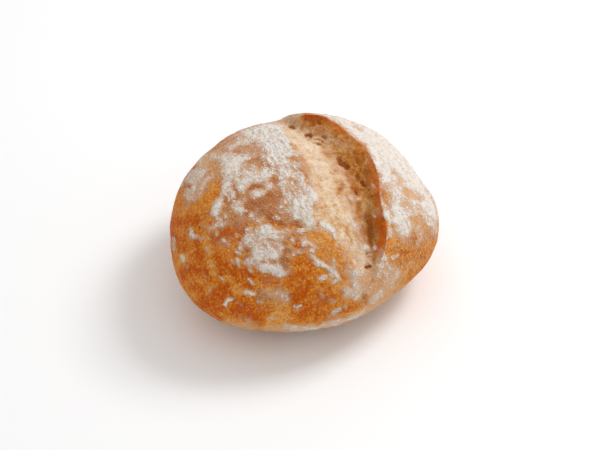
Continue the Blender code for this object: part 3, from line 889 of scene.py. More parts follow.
# ---- pores and torn pits, sunk and darkened; their dark colour is partly painted shade, and some lines are painted shadows along the wall's foot and in the hollow: (points, width in pixels, depth in metres) ----
PITS_AND_SHADOWS = (
    ([(290.4, 126.5), (293.6, 127)], 6.4, 0.0019),
    ([(306.2, 134.8), (310.4, 135.2)], 6.0, 0.0026),
    ([(301, 130), (302.5, 130.5)], 2.6, 0.0010),
    ([(300, 134), (301, 134.5)], 2.2, 0.0008),
    ([(318, 120.5), (320, 123)], 5.6, 0.0026),
    ([(323, 136.2), (326, 137.4)], 5.2, 0.0018),
    ([(307, 139.6), (312, 139)], 2.6, 0.0014),
    ([(314, 138.8), (319, 139.6)], 3.0, 0.0015),
    ([(322, 140.5), (323.6, 141.3)], 4.2, 0.0018),
    ([(314.8, 142.0), (316.2, 142.8)], 3.2, 0.0015),
    ([(318.0, 143.6), (320.4, 144.4)], 4.8, 0.0020),
    ([(325, 148.5), (326.5, 149)], 2.6, 0.0008),
    ([(324, 157), (324.6, 157)], 2.4, 0.0007),
    ([(340.4, 140.4), (343, 141.6)], 3.0, 0.0012),
    ([(343.5, 137), (345, 138)], 2.4, 0.0008),
    ([(332, 148.6), (334.6, 150.6)], 4.4, 0.0007),
    ([(339.4, 158.6), (341, 161)], 8.0, 0.0028),
    ([(340.4, 162.2), (342.6, 163.6)], 6.6, 0.0030),
    ([(344.0, 162.0), (345.6, 164)], 6.0, 0.0022),
    ([(345.6, 164.4), (347.4, 167.0)], 8.4, 0.0032),
    ([(336.5, 167), (337.5, 167.5)], 3.0, 0.0010),
    ([(341.5, 171), (342.4, 172)], 3.0, 0.0010),
    # painted shadows along the wall's foot, drawn as a chain of dark pores
    ([(350.4, 169.8), (352.6, 172.8)], 7.4, 0.0013),
    ([(357.2, 173.6), (358.6, 178.6)], 6.0, 0.0021),
    ([(360.4, 180.2)], 5.0, 0.0016),
    ([(362.0, 181.2), (363.4, 184.4)], 6.4, 0.0026),
    ([(352.4, 187.4), (354.0, 189.6)], 6.0, 0.0011),
    ([(355.2, 191.2), (356.2, 193.2)], 4.4, 0.0024),
    ([(358.4, 203.0), (359.2, 208.4), (357.8, 212.0)], 7.2, 0.0014),
    ([(358.6, 207.0), (358.4, 210.5)], 3.8, 0.0016),
    # the dark strip deep in the hollow under the ear's lower end: a small sink with painted shade
    ([(371.2, 220), (371.6, 227), (371.2, 234), (370, 243)], 7.6, 0.0014),
    # painted shade on the hollow's pale side
    ([(363, 229), (364, 238), (365.4, 245)], 7.4, 0.0008),
    ([(355.5, 219), (354.5, 221)], 2.4, 0.0008),
    ([(367.5, 253.5), (369.5, 253)], 4.2, 0.0018),
    ([(367, 267.5), (370, 266.8)], 4.8, 0.0028),
    ([(369, 285), (373, 280)], 3.8, 0.0008),
    ([(397, 282), (399, 281)], 3.2, 0.0008),
    ([(313, 124), (315, 125)], 2.4, 0.0007),
    ([(373, 210), (374, 210.5)], 2.8, 0.0008),
    ([(278, 315), (281, 317)], 3.2, 0.0008),
    ([(199, 227), (199.5, 228)], 3.6, 0.0020),
    ([(219.6, 230)], 3.2, 0.0018),
    ([(210.8, 259)], 2.8, 0.0018),
    ([(212.5, 288.5)], 2.6, 0.0014),
)
# ---- tan mottles in the crumb, the orange side of some pores, and painted shade: a shadow at the wall's foot and the shade in the hollow under the ear's lower end ----
TAN_AND_SHADE_LINES = (
    # painted shadow at the foot of the wall
    ([(321, 146), (327, 151)], 6.0, 0.35),
    # painted shade joining the dark pores along the wall's foot
    ([(346, 170), (350, 175)], 7.0, 0.30),
    ([(362, 162), (367, 167)], 7.0, 0.20),
    ([(304, 127), (314, 126), (324, 128)], 7.0, 0.38),
    ([(300, 131), (308, 132), (318, 132)], 6.0, 0.35),
    # painted shade on the pale side of the hollow under the ear's lower end
    ([(357.5, 219), (359, 228), (361, 240)], 8.0, 0.75),
    ([(325, 152), (330, 160), (333, 168)], 7.0, 0.45),
    ([(290, 143.5), (295.5, 147.5)], 3.6, 0.9),
    ([(331, 173), (332.5, 174)], 4.6, 0.5),
    ([(335.5, 181), (340, 182), (342, 186), (341, 191), (338, 193)], 4.4, 0.65),
    ([(336, 184), (337, 190)], 5.0, 0.35),
    ([(316, 184), (319.5, 188)], 3.2, 0.6),
    ([(355, 188), (357.5, 190)], 5.0, 0.8),
    ([(337, 219), (339, 219.5)], 4.0, 0.7),
    ([(343.5, 225), (346, 226)], 3.6, 0.6),
    ([(333, 205), (334.5, 205)], 3.6, 0.6),
    ([(344, 210), (345, 211)], 3.6, 0.5),
    ([(348, 230), (349, 236), (351, 243)], 5.0, 0.7),
    ([(316, 200), (322, 206), (327, 212)], 7.0, 0.35),
    ([(324, 216), (331, 222), (338, 228)], 8.0, 0.45),
    ([(334, 232), (339, 239), (345, 247)], 7.0, 0.42),
    ([(347, 248), (352, 255), (356, 264)], 9.0, 0.34),
    ([(359.6, 245), (360.6, 249)], 4.2, 0.85),
    ([(336, 246), (342, 254), (347, 261)], 7.0, 0.85),
    ([(351, 263), (355, 267)], 5.0, 0.7),
    # painted shade deeper in the same hollow
    ([(360, 217), (361, 229), (363, 241)], 10.0, 0.40),
    ([(365.5, 216), (365.5, 229), (366, 243)], 7.0, 0.74),
)
# ---- grey and pinkish flour lying in the slash; one line also greys a painted shadow, and one paints light ----
VEIL_AND_SHADING_LINES = (
    ([(367, 257), (369, 262), (370, 268)], 8.0, 0.40),
    ([(371, 252), (372, 258)], 4.6, 0.34),
    ([(380.5, 250), (379.5, 257), (377.5, 262)], 5.0, 0.44),
    ([(374, 244), (375, 251)], 4.0, 0.14),
    ([(326, 115.5), (331.5, 119.5)], 4.5, 0.95),
    ([(306, 134), (316, 140), (327, 150), (333, 158)], 10.0, 0.15),
    ([(334, 160), (340, 171), (347, 179)], 10.0, 0.24),
    ([(329, 138), (336, 140), (342, 142), (350, 143)], 7.0, 0.19),
    ([(354, 178), (358, 182)], 7.0, 0.20),
    ([(364, 208), (364, 216)], 7.0, 0.14),
    # grey of the painted shadow at the wall's foot
    ([(321, 146), (327, 151)], 6.0, 0.12),
    ([(329, 138), (335, 141)], 6.0, 0.28),
    ([(379, 209), (381, 215)], 5.0, 0.24),
    ([(307, 168), (309, 180)], 6.0, 0.24),
    ([(313, 179), (318, 181)], 6.0, 0.22),
    ([(288, 124), (295, 124)], 6.0, 0.26),
    ([(297, 130), (303, 134)], 6.0, 0.24),
    ([(363.5, 216), (363.5, 223)], 6.0, 0.18),
    ([(352, 196), (351, 206), (353, 216), (355, 226)], 9.0, 0.30),
    ([(358, 225), (360, 232), (362, 243), (364, 249)], 9.0, 0.38),
    ([(284, 129), (294, 131), (302, 138)], 7.0, 0.16),
    ([(316.5, 168), (317, 174)], 3.0, 0.75),
    ([(348, 214.5), (351, 219), (353.5, 224)], 3.2, 0.65),
    ([(351, 197.5), (353, 198)], 3.2, 0.6),
    ([(357.5, 198), (360, 199)], 3.2, 0.6),
    ([(363, 246), (369, 250)], 5.0, 0.7),
    ([(374.5, 215), (376, 216)], 3.2, 0.9),
    ([(374.5, 246.5), (376, 247.5)], 3.8, 0.9),
    ([(372.5, 186), (374, 187)], 4.0, 0.45),
    ([(371.5, 192), (373, 193)], 3.6, 0.4),
    ([(323, 139), (325, 141)], 2.4, 0.4),
    ([(360, 185.5), (363, 186.5)], 2.4, 0.5),
    # painted light lifting the shade on the wall at the slash's far end
    ([(281, 121), (290, 117), (300, 115)], 7.0, 0.44),
    ([(359, 246), (362, 254), (366, 260)], 7.0, 0.16),
    ([(330, 128), (338, 134)], 5.0, 0.10),
    ([(332, 149), (341, 147), (350, 149)], 6.5, 0.16),
    ([(300, 140), (312, 150), (320, 165)], 12.0, 0.14),
    ([(366, 168), (369, 178)], 5.0, 0.10),
)

# ---- where the lip is browned to orange, and the dark red inside of its lower end ----
LIP_LINES = (
    ([(305, 117), (314, 115), (326, 117)], 12.0, 1.0),
    ([(335, 125), (344, 131)], 10.0, 0.60),
    ([(350, 136), (360, 142), (368, 150)], 8.0, 0.22),
    ([(369, 152), (374, 160)], 8.0, 0.30),
    ([(374, 164), (379, 174), (381, 184), (378, 196)], 8.0, 0.75),
    ([(379, 206), (383, 216), (386, 228), (385, 238), (381, 246)], 9.5, 1.0),
)
REDDENED_LINES = (
    ([(303, 117), (318, 116)], 7.0, 0.8),
    ([(337, 129), (344, 134)], 6.0, 0.35),
    ([(373, 176), (377, 188), (377, 198)], 7.0, 0.65),
    ([(377, 219), (381, 226), (382, 238), (380, 248)], 9.0, 1.0),
    ([(352, 188.5), (355, 191)], 5.0, 0.35),
    ([(357, 204), (357, 211)], 4.0, 0.1),
)
# ---- an isle of crust on the crumb's left edge ----
ISLE_AREAS = (
    ([(286, 157), (293, 155), (301, 156), (305, 162), (305, 169), (306, 175), (301, 174), (296, 171), (289, 166)],
     0.92, 1.3),
)
# ---- crumb that reaches over the slash's left edge ----
CRUMB_AREAS = (
    ([(308, 155), (318, 158), (322, 170), (322, 190), (314, 187), (307, 181), (310, 176), (309, 168), (307, 161)],
     0.95, 1.8),
    ([(314, 199), (322, 200), (324, 210), (317, 208)], 0.6, 2.0),
)
# ---- where the flour lies in crinkles that run with the slash ----
CRINKLED_AREAS = (
    ([(244, 128), (262, 122), (284, 124), (296, 150), (312, 180), (322, 200), (322, 228), (300, 228), (286, 206),
      (276, 186), (264, 160), (252, 142)], 1.0, 5.0),
    ([(330, 116), (360, 122), (392, 142), (420, 172), (438, 206), (436, 224), (408, 236), (392, 232), (384, 210),
      (380, 176), (366, 146), (346, 128)], 0.22, 4.0),
    ([(226, 156), (248, 156), (272, 170), (252, 184), (228, 190)], 0.5, 5.0),
)
# ---- where the crust is dull and dusty between the flour ----
DUSTY_AREAS = (
    ([(188, 168), (205, 152), (222, 138), (242, 129), (272, 122), (290, 130), (300, 152), (312, 176), (322, 200),
      (322, 226), (306, 232), (288, 226), (262, 222), (240, 228), (222, 226), (206, 214), (214, 207), (221, 197),
      (219, 183), (209, 176),
      (196, 186), (182, 196), (180, 184)], 1.0, 6.0),
    ([(392, 168), (420, 172), (438, 204), (438, 238), (418, 242), (400, 240), (384, 226), (382, 200)], 0.9, 5.0),
    ([(390, 236), (438, 226), (436, 262), (416, 276), (394, 286), (386, 268), (386, 250)], 0.55, 9.0),
    ([(344, 264), (362, 262), (384, 260), (400, 268), (402, 284), (384, 300), (358, 304), (346, 292)], 0.8, 5.0),
    ([(236, 326), (262, 328), (300, 324), (336, 318), (366, 306), (398, 288), (404, 296), (360, 320),
      (300, 336), (244, 338)], 0.7, 6.0),
    ([(256, 292), (284, 288), (290, 300), (276, 304), (258, 300)], 0.6, 4.0),
    ([(242, 232), (262, 222), (286, 232), (292, 250), (292, 272), (262, 274), (244, 264)], 0.95, 4.0),
    ([(250, 288), (268, 284), (286, 286), (292, 300), (276, 306), (256, 302)], 0.5, 4.0),
)


def build_loaf():
    cube, quads, tris = topology()
    quads, tris = quads.tolist(), tris.tolist()
    over = cube[:, 2] > 1.0 - 1e-6
    column, place = cube[:, 0].copy(), np.where(over, cube[:, 1], 1.0)
    lines = station_values(place)
    # the lip and the crumb's left edge waver a little
    there = np.stack((place, 0 * place, 0 * place), axis=1)
    lines[:, 2] += 0.0045 * noise(there, 0.09, 6) + 0.0025 * noise(there, 0.035, 7)
    lines[:, 0] += 0.0090 * noise(there, 0.11, 8) + 0.0040 * noise(there, 0.04, 9)
    across = np.where(over, steer(column, place, lines), column)
    placed = cube.copy()
    placed[over, 0] = across[over]
    direction = cube_to_sphere(placed)
    form = domed_form(direction)
    normal = outward_normals(direction)
    standing = smooth((form[:, 2] - 0.002) / 0.02)

    # ---- the slash's relief ----
    left, lip = lines[:, 0], lines[:, 2]
    groove = lines[:, 1]
    depth, rise = lines[:, 3], lines[:, 4]
    strength = np.clip(depth / 0.0038, 0.0, 1.0) * over
    s = (column - LEFT_COLUMN) / (GROOVE_COLUMN - LEFT_COLUMN)
    t = (column - GROOVE_COLUMN) / (LIP_COLUMN - GROOVE_COLUMN)
    edge = EDGE_STEP * strength
    fall = 1.2 + 1.1 * step(0.30, 0.48, place) * (1 - step(0.66, 0.80, place))
    crumb = -edge * smooth(s / 0.2) * 0.6
    crumb -= (depth - 0.6 * edge) * np.where(s > 1, 1 + fall * (s - 1), np.clip(s, 0, 1) ** fall)
    crumb += 0.4 * edge * (1 - smooth(s / 0.2))
    wall = -depth + (depth + rise) * np.where(t > 0, np.clip(t, 0, 1) ** 0.95, 1.3 * t)
    round_off = np.minimum(0.0060 - 0.0030 * step(0.30, 0.48, place) * (1 - step(0.66, 0.80, place)), 1.1 * depth + 1e-6)
    valley = np.maximum(crumb, wall)
    valley += np.clip(round_off - np.abs(crumb - wall), 0, None) ** 2 / (4 * round_off)
    behind = np.maximum(across - lip, 0.0) * PATCH_SPAN
    ear = rise * np.exp(-((behind / EAR_REACH) ** 1.4))
    crust = 0.4 * edge * np.exp(-(((column - LEFT_COLUMN) / 0.12) ** 2))
    relief = np.where(column <= LEFT_COLUMN, crust, np.where(column <= LIP_COLUMN, valley, ear))
    relief = np.where(over, relief * smooth((1.0 - np.abs(column)) / 0.25), 0.0)
    base = form + normal * (relief + swelling(direction) * standing)[:, None] - BOX_MIDDLE

    # ---- how each point stands to the picture ----
    eye = camera_axes()[0]
    facing = np.einsum("ij,ij->i", normal, unit(eye - base))
    seen = step(-0.22, -0.02, facing)
    px, py = to_picture(base)
    wander = [
        1.5 * noise(form, 0.0060, 51) + 1.0 * noise(form, 0.0028, 52),
        1.5 * noise(form, 0.0060, 53) + 1.0 * noise(form, 0.0028, 54),
    ]
    rim = (1 - step(0.10, 0.40, facing)) * step(0.05, 0.30, -direction[:, 2])
    wander[0] += 5.0 * rim * noise(form, 0.0110, 61)
    wander[1] += 2.2 * rim * noise(form, 0.0110, 62)
    px += wander[0]
    py += wander[1]

    # ---- kinds of surface: crumb, torn wall, lip ----
    along = form @ np.stack(slash_axes(), axis=1)
    ragged = noise(form, 0.0060, 55) + 0.6 * noise(form, 0.0028, 56)
    streaks = noise(along, (0.0090, 0.0035, 0.0035), 57)
    crumb_mask = step(-0.10, 0.12, s + 0.10 * ragged) * (column < LIP_COLUMN + 0.5) * strength
    crumb_mask *= 1 - step(0.96, 1.0, t)
    crumb_mask = np.maximum(crumb_mask, laid(px, py, CRUMB_AREAS) * seen * over)
    crumb_mask *= 1 - laid(px, py, ISLE_AREAS) * seen
    # the wall's brown begins on the crumb's slope down into the groove: partly browning, partly painted shade
    early = step(-0.42, -0.12, place)
    start, full = -0.45 - 0.50 * early, 0.75 - 0.85 * early
    wall_and_groove_shade_mask = step(start, full, t + 0.20 * ragged + 0.16 * streaks) * (1 - step(0.97, 1.0, t)) * strength
    lip_mask = step(0.62, 1.0, t + 0.14 * ragged) * np.exp(-((np.maximum(t - 1, 0) / 0.06) ** 2))
    lip_mask *= np.clip(depth / 0.0030, 0.0, 1.0) * over
    slash = np.clip(np.maximum(crumb_mask, wall_and_groove_shade_mask), 0, 1)
    lip_mask *= 0.10 + 0.90 * np.maximum(laid(px, py, (), LIP_LINES), 1 - seen)
    lip_mask = np.maximum(lip_mask, laid(px, py, (), REDDENED_LINES) * slash * seen)
    lip_mask *= 0.88 + 0.12 * step(-0.5, 0.4, ragged)

    # ---- flour ----
    drift, patch = cloudy(form, 0.045, 3, 11), cloudy(form, 0.020, 3, 12)
    away = step(0.0, 0.5, patch * 0.9 + drift * 0.6 + 0.40 * (direction[:, 2] - 0.20))
    away *= step(-0.30, 0.30, direction[:, 2]) * (1 - slash * 0.9)
    strewn = np.random.default_rng(5)
    hidden = np.flatnonzero((seen < 0.4) & (form[:, 2] > 0.008) & (form[:, 2] < 0.085) & (slash < 0.1))
    for centre in strewn.choice(hidden, 70, replace=False):
        size = 0.0010 + 0.0034 * strewn.random() ** 2
        span = form[hidden] - form[centre] + 0.0009 * np.stack((wander[0], wander[1], -wander[0]), axis=1)[hidden]
        gap = np.linalg.norm(span / (size * strewn.uniform(0.7, 1.6, 3)), axis=1)
        away[hidden] = np.maximum(away[hidden], (1 - smooth(gap - 0.4)) * strewn.uniform(0.35, 1.0))
    low = 1 - smooth((form[:, 2] - 0.003) / 0.016)
    away = np.maximum(away * 0.95, low * (0.22 + 0.36 * step(-0.4, 0.5, patch + 0.3 * ragged)))
    shown = laid(px, py, FLOUR_AREAS, FLOUR_LINES) * (1 - laid(px, py, (), BARE_LINES))
    beyond = step(-0.62, -0.18, facing + 0.30 * drift + 0.15 * patch)
    flour_and_painted_shading = shown * seen + np.maximum(away, shown * beyond) * (1 - seen)
    inside = smooth((1 - np.maximum(np.abs(column), np.abs(place)) + 0.05 * ragged + 0.04 * patch) / 0.22)
    ear_back = step(1.05, 1.20, t + 0.06 * ragged) * step(0.40, 0.56, -place) * over * inside
    far_end = form[np.argmin(np.abs(place + 0.92) + np.abs(t - 1.35) + 9.0 * ~over)]
    round_end = 1 - smooth((np.linalg.norm(form - far_end, axis=1) / 0.026 + 0.12 * ragged + 0.10 * patch - 0.6) / 0.6)
    flour_and_painted_shading = np.maximum(flour_and_painted_shading, ear_back * step(-0.45, 0.25, patch + 0.6 * drift + 0.15 * ragged) * 0.92)
    flour_and_painted_shading *= 1 - 0.50 * wall_and_groove_shade_mask - 0.40 * lip_mask * (t < 1)
    # the veil lines add flour, and in two places painted shade and painted light
    flour_and_painted_shading = np.maximum(flour_and_painted_shading, laid(px, py, (), VEIL_AND_SHADING_LINES) * seen)

    # ---- how dark the crust is baked, with painted shade and painted light in the slash ----
    toast_and_painted_shading = TOAST_LEVEL + cloudy(form, 0.026, 3, 21) * (0.42 - 0.30 * step(-0.14, 0.10, facing))
    beside = 1 - step(1.05, 1.25, t) * step(0.40, 0.56, -place) * over
    # darker and more golden crust, with painted shade in the hollow and painted light on shaded parts of the slash
    toast_and_painted_shading += seen * beside * (0.38 * laid(px, py, (), DARK_AND_SHADE_LINES) - 0.38 * laid(px, py, (), GOLD_AND_LIGHT_LINES))
    near = np.maximum(seen, step(-0.60, -0.05, facing + 0.30 * drift + 0.25 * patch + 0.06 * ragged))
    toast_and_painted_shading -= (1 - near) * low * 0.25
    # tan mottles on the torn faces, and painted shade at the wall's foot and in the hollow
    toast_and_painted_shading += seen * slash * 0.55 * laid(px, py, (), TAN_AND_SHADE_LINES)

    dusty = laid(px, py, DUSTY_AREAS) * near
    dusty += (1 - near) * step(-0.5, 0.6, drift + 0.6 * patch + 0.2 * ragged) * 0.85
    dusty = np.maximum(dusty, round_end * (0.62 + 0.30 * step(-0.5, 0.5, patch + 0.3 * ragged)))
    ridge = laid(px, py, CRINKLED_AREAS) * seen + 0.35 * (1 - seen)

    # ---- pores and pits, with their painted shade ----
    rough = noise(form, 0.0022, 58)
    pit_and_painted_shade, sink = np.zeros(len(px)), np.zeros(len(px))
    for line, width, deep in PITS_AND_SHADOWS:
        gap, _ = gap_to(px - 0.55 * wander[0], py - 0.55 * wander[1], line)
        gap = gap / (width / 2) + 0.34 * rough
        sink = np.maximum(sink, (1 - smooth(gap - 0.15)) * deep * 0.42)
        pit_and_painted_shade = np.maximum(pit_and_painted_shade, (1 - smooth(gap * 0.9 - 0.15)) * min(1.0, deep / 0.0024))
    pit_and_painted_shade *= seen
    sink *= seen

    # ---- small pores strewn over the torn faces, sunk and darkened with painted shade ----
    rng = np.random.default_rng(7)
    torn = np.flatnonzero((slash > 0.5) & (column < LIP_COLUMN) & (strength > 0.4))
    chance = 0.30 + 1.0 * np.exp(-(((t[torn] - 0.05) / 0.55) ** 2))
    centres = rng.choice(torn, 360, replace=False, p=chance / chance.sum())
    for centre in centres:
        size = 0.00055 + 0.00085 * rng.random() ** 2
        span = (along[torn] - along[centre]) / (size * rng.uniform(1.0, 1.9), size * rng.uniform(0.8, 1.2), size)
        gap = np.linalg.norm(span, axis=1)
        sink[torn] = np.maximum(sink[torn], (1 - smooth(gap - 0.3)) * size * 0.55)
        pit_and_painted_shade[torn] = np.maximum(pit_and_painted_shade[torn], (1 - smooth(gap - 0.2)) * rng.uniform(0.15, 0.55))

    # ---- fine relief ----
    crusty = (1 - slash) * standing
    fine = crusty * (noise(form, 0.011, 32) * 0.00040 + cloudy(form, 0.0045, 2, 31) * 0.00028)
    fine += crusty * flour_and_painted_shading * (0.00050 + 0.00040 * noise(form, 0.0026, 33))
    crinkle = noise(along, (0.0085, 0.0023, 0.0023), 35) + 0.6 * noise(along, (0.0045, 0.0015, 0.0015), 36)
    fine += crusty * ridge * (0.4 + 0.6 * flour_and_painted_shading) * crinkle * 0.00070
    fine += slash * (noise(form, 0.006, 3) * 0.00034 + noise(form, 0.0026, 4) * 0.00020)
    fine += wall_and_groove_shade_mask * noise(along, (0.0070, 0.0026, 0.0026), 34) * 0.00040
    points = base + normal * (fine - sink)[:, None]
    points[:, 2] = np.maximum(points[:, 2], 0.0)
    points[form[:, 2] <= 0.0, 2] = 0.0

    # ---- the mesh ----
    mesh = bpy.data.meshes.new("loaf")
    mesh.from_pydata(points.tolist(), [], quads + tris)
    mesh.update()
    mesh.shade_smooth()
    for name, values in (
        ("flour_and_painted_shading", flour_and_painted_shading),
        ("toast_and_painted_shading", toast_and_painted_shading),
        ("crumb", crumb_mask),
        ("wall", wall_and_groove_shade_mask),
        ("lip", lip_mask),
        ("pit_and_painted_shade", pit_and_painted_shade),
        ("dusty", dusty),
        ("ridge", ridge * (1 - slash)),
    ):
        layer = mesh.attributes.new(name, "FLOAT", "POINT")
        layer.data.foreach_set("value", values.astype(np.float32))
    loaf = bpy.data.objects.new("loaf", mesh)
    bpy.context.scene.collection.objects.link(loaf)
    print("loaf triangles", 2 * len(quads) + len(tris))
    return loaf


# ======================================================================
# Materials
# ======================================================================
def linear(r, g, b):
    def one(v):
        v /= 255.0
        return v / 12.92 if v <= 0.04045 else ((v + 0.055) / 1.055) ** 2.4

    return (one(r), one(g), one(b), 1.0)


class Nodes:
    """A short way to write node trees."""

    def __init__(self, material):
        self.tree = material.node_tree
        self.made = 0

    def add(self, kind, **values):
        node = self.tree.nodes.new(kind)
        node.location = (-3000 + 180 * (self.made % 14), 900 - 260 * (self.made // 14))
        self.made += 1
        for key, value in values.items():
            setattr(node, key, value)
        return node

    def put(self, socket, value):
        if isinstance(value, bpy.types.NodeSocket):
            self.tree.links.new(value, socket)
        else:
            socket.default_value = value

    def attribute(self, name):
        return self.add("ShaderNodeAttribute", attribute_name=name).outputs["Fac"]

    def math(self, operation, a, b=0.0, c=0.0, clamp=False):
        node = self.add("ShaderNodeMath", operation=operation, use_clamp=clamp)
        self.put(node.inputs[0], a)
        self.put(node.inputs[1], b)
        if operation == "MULTIPLY_ADD":
            self.put(node.inputs[2], c)
        return node.outputs[0]

    def plus(self, *terms):
        """Adds (value, factor) pairs and plain values."""
        total = 0.0
        for term in terms:
            value, factor = term if isinstance(term, tuple) else (term, 1.0)
            if isinstance(value, bpy.types.NodeSocket):
                total = self.math("MULTIPLY_ADD", value, factor, total)
            else:
                total = self.math("ADD", total, value * factor)
        return total

    def ramp(self, value, low, high, to_low=0.0, to_high=1.0, curve="SMOOTHSTEP"):
        node = self.add("ShaderNodeMapRange")
        node.interpolation_type = curve
        self.put(node.inputs["Value"], value)
        self.put(node.inputs["From Min"], low)
        self.put(node.inputs["From Max"], high)
        self.put(node.inputs["To Min"], to_low)
        self.put(node.inputs["To Max"], to_high)
        return node.outputs["Result"]

    def mix(self, share, a, b, blend="MIX"):
        node = self.add("ShaderNodeMix", data_type="RGBA", blend_type=blend)
        self.put(node.inputs["Factor"], share)
        self.put(node.inputs[6], a)
        self.put(node.inputs[7], b)
        return node.outputs[2]

    def noise(self, where, size, detail=3.0, rough=0.55, distort=0.0):
        """Noise about zero, with features of the given size in metres."""
        node = self.add("ShaderNodeTexNoise")
        self.put(node.inputs["Vector"], where)
        node.inputs["Scale"].default_value = 1.0 / size
        node.inputs["Detail"].default_value = detail
        node.inputs["Roughness"].default_value = rough
        node.inputs["Distortion"].default_value = distort
        return self.math("MULTIPLY_ADD", node.outputs["Fac"], 4.0, -2.0)

    def lengthwise(self, where, stretch):
        """Coordinates drawn out along the slash."""
        node = self.add("ShaderNodeMapping", vector_type="TEXTURE")
        self.put(node.inputs["Vector"], where)
        node.inputs["Rotation"].default_value = (0.0, math.radians(10.0), math.radians(SLASH_HEADING))
        node.inputs["Scale"].default_value = (stretch, 1.0, 1.0)
        return node.outputs["Vector"]

    def colours(self, value, stops):
        node = self.add("ShaderNodeValToRGB")
        ramp = node.color_ramp
        while len(ramp.elements) < len(stops):
            ramp.elements.new(0.5)
        for element, (at, colour) in zip(ramp.elements, stops):
            element.position = at
            element.color = colour
        self.put(node.inputs[0], value)
        return node.outputs["Color"]


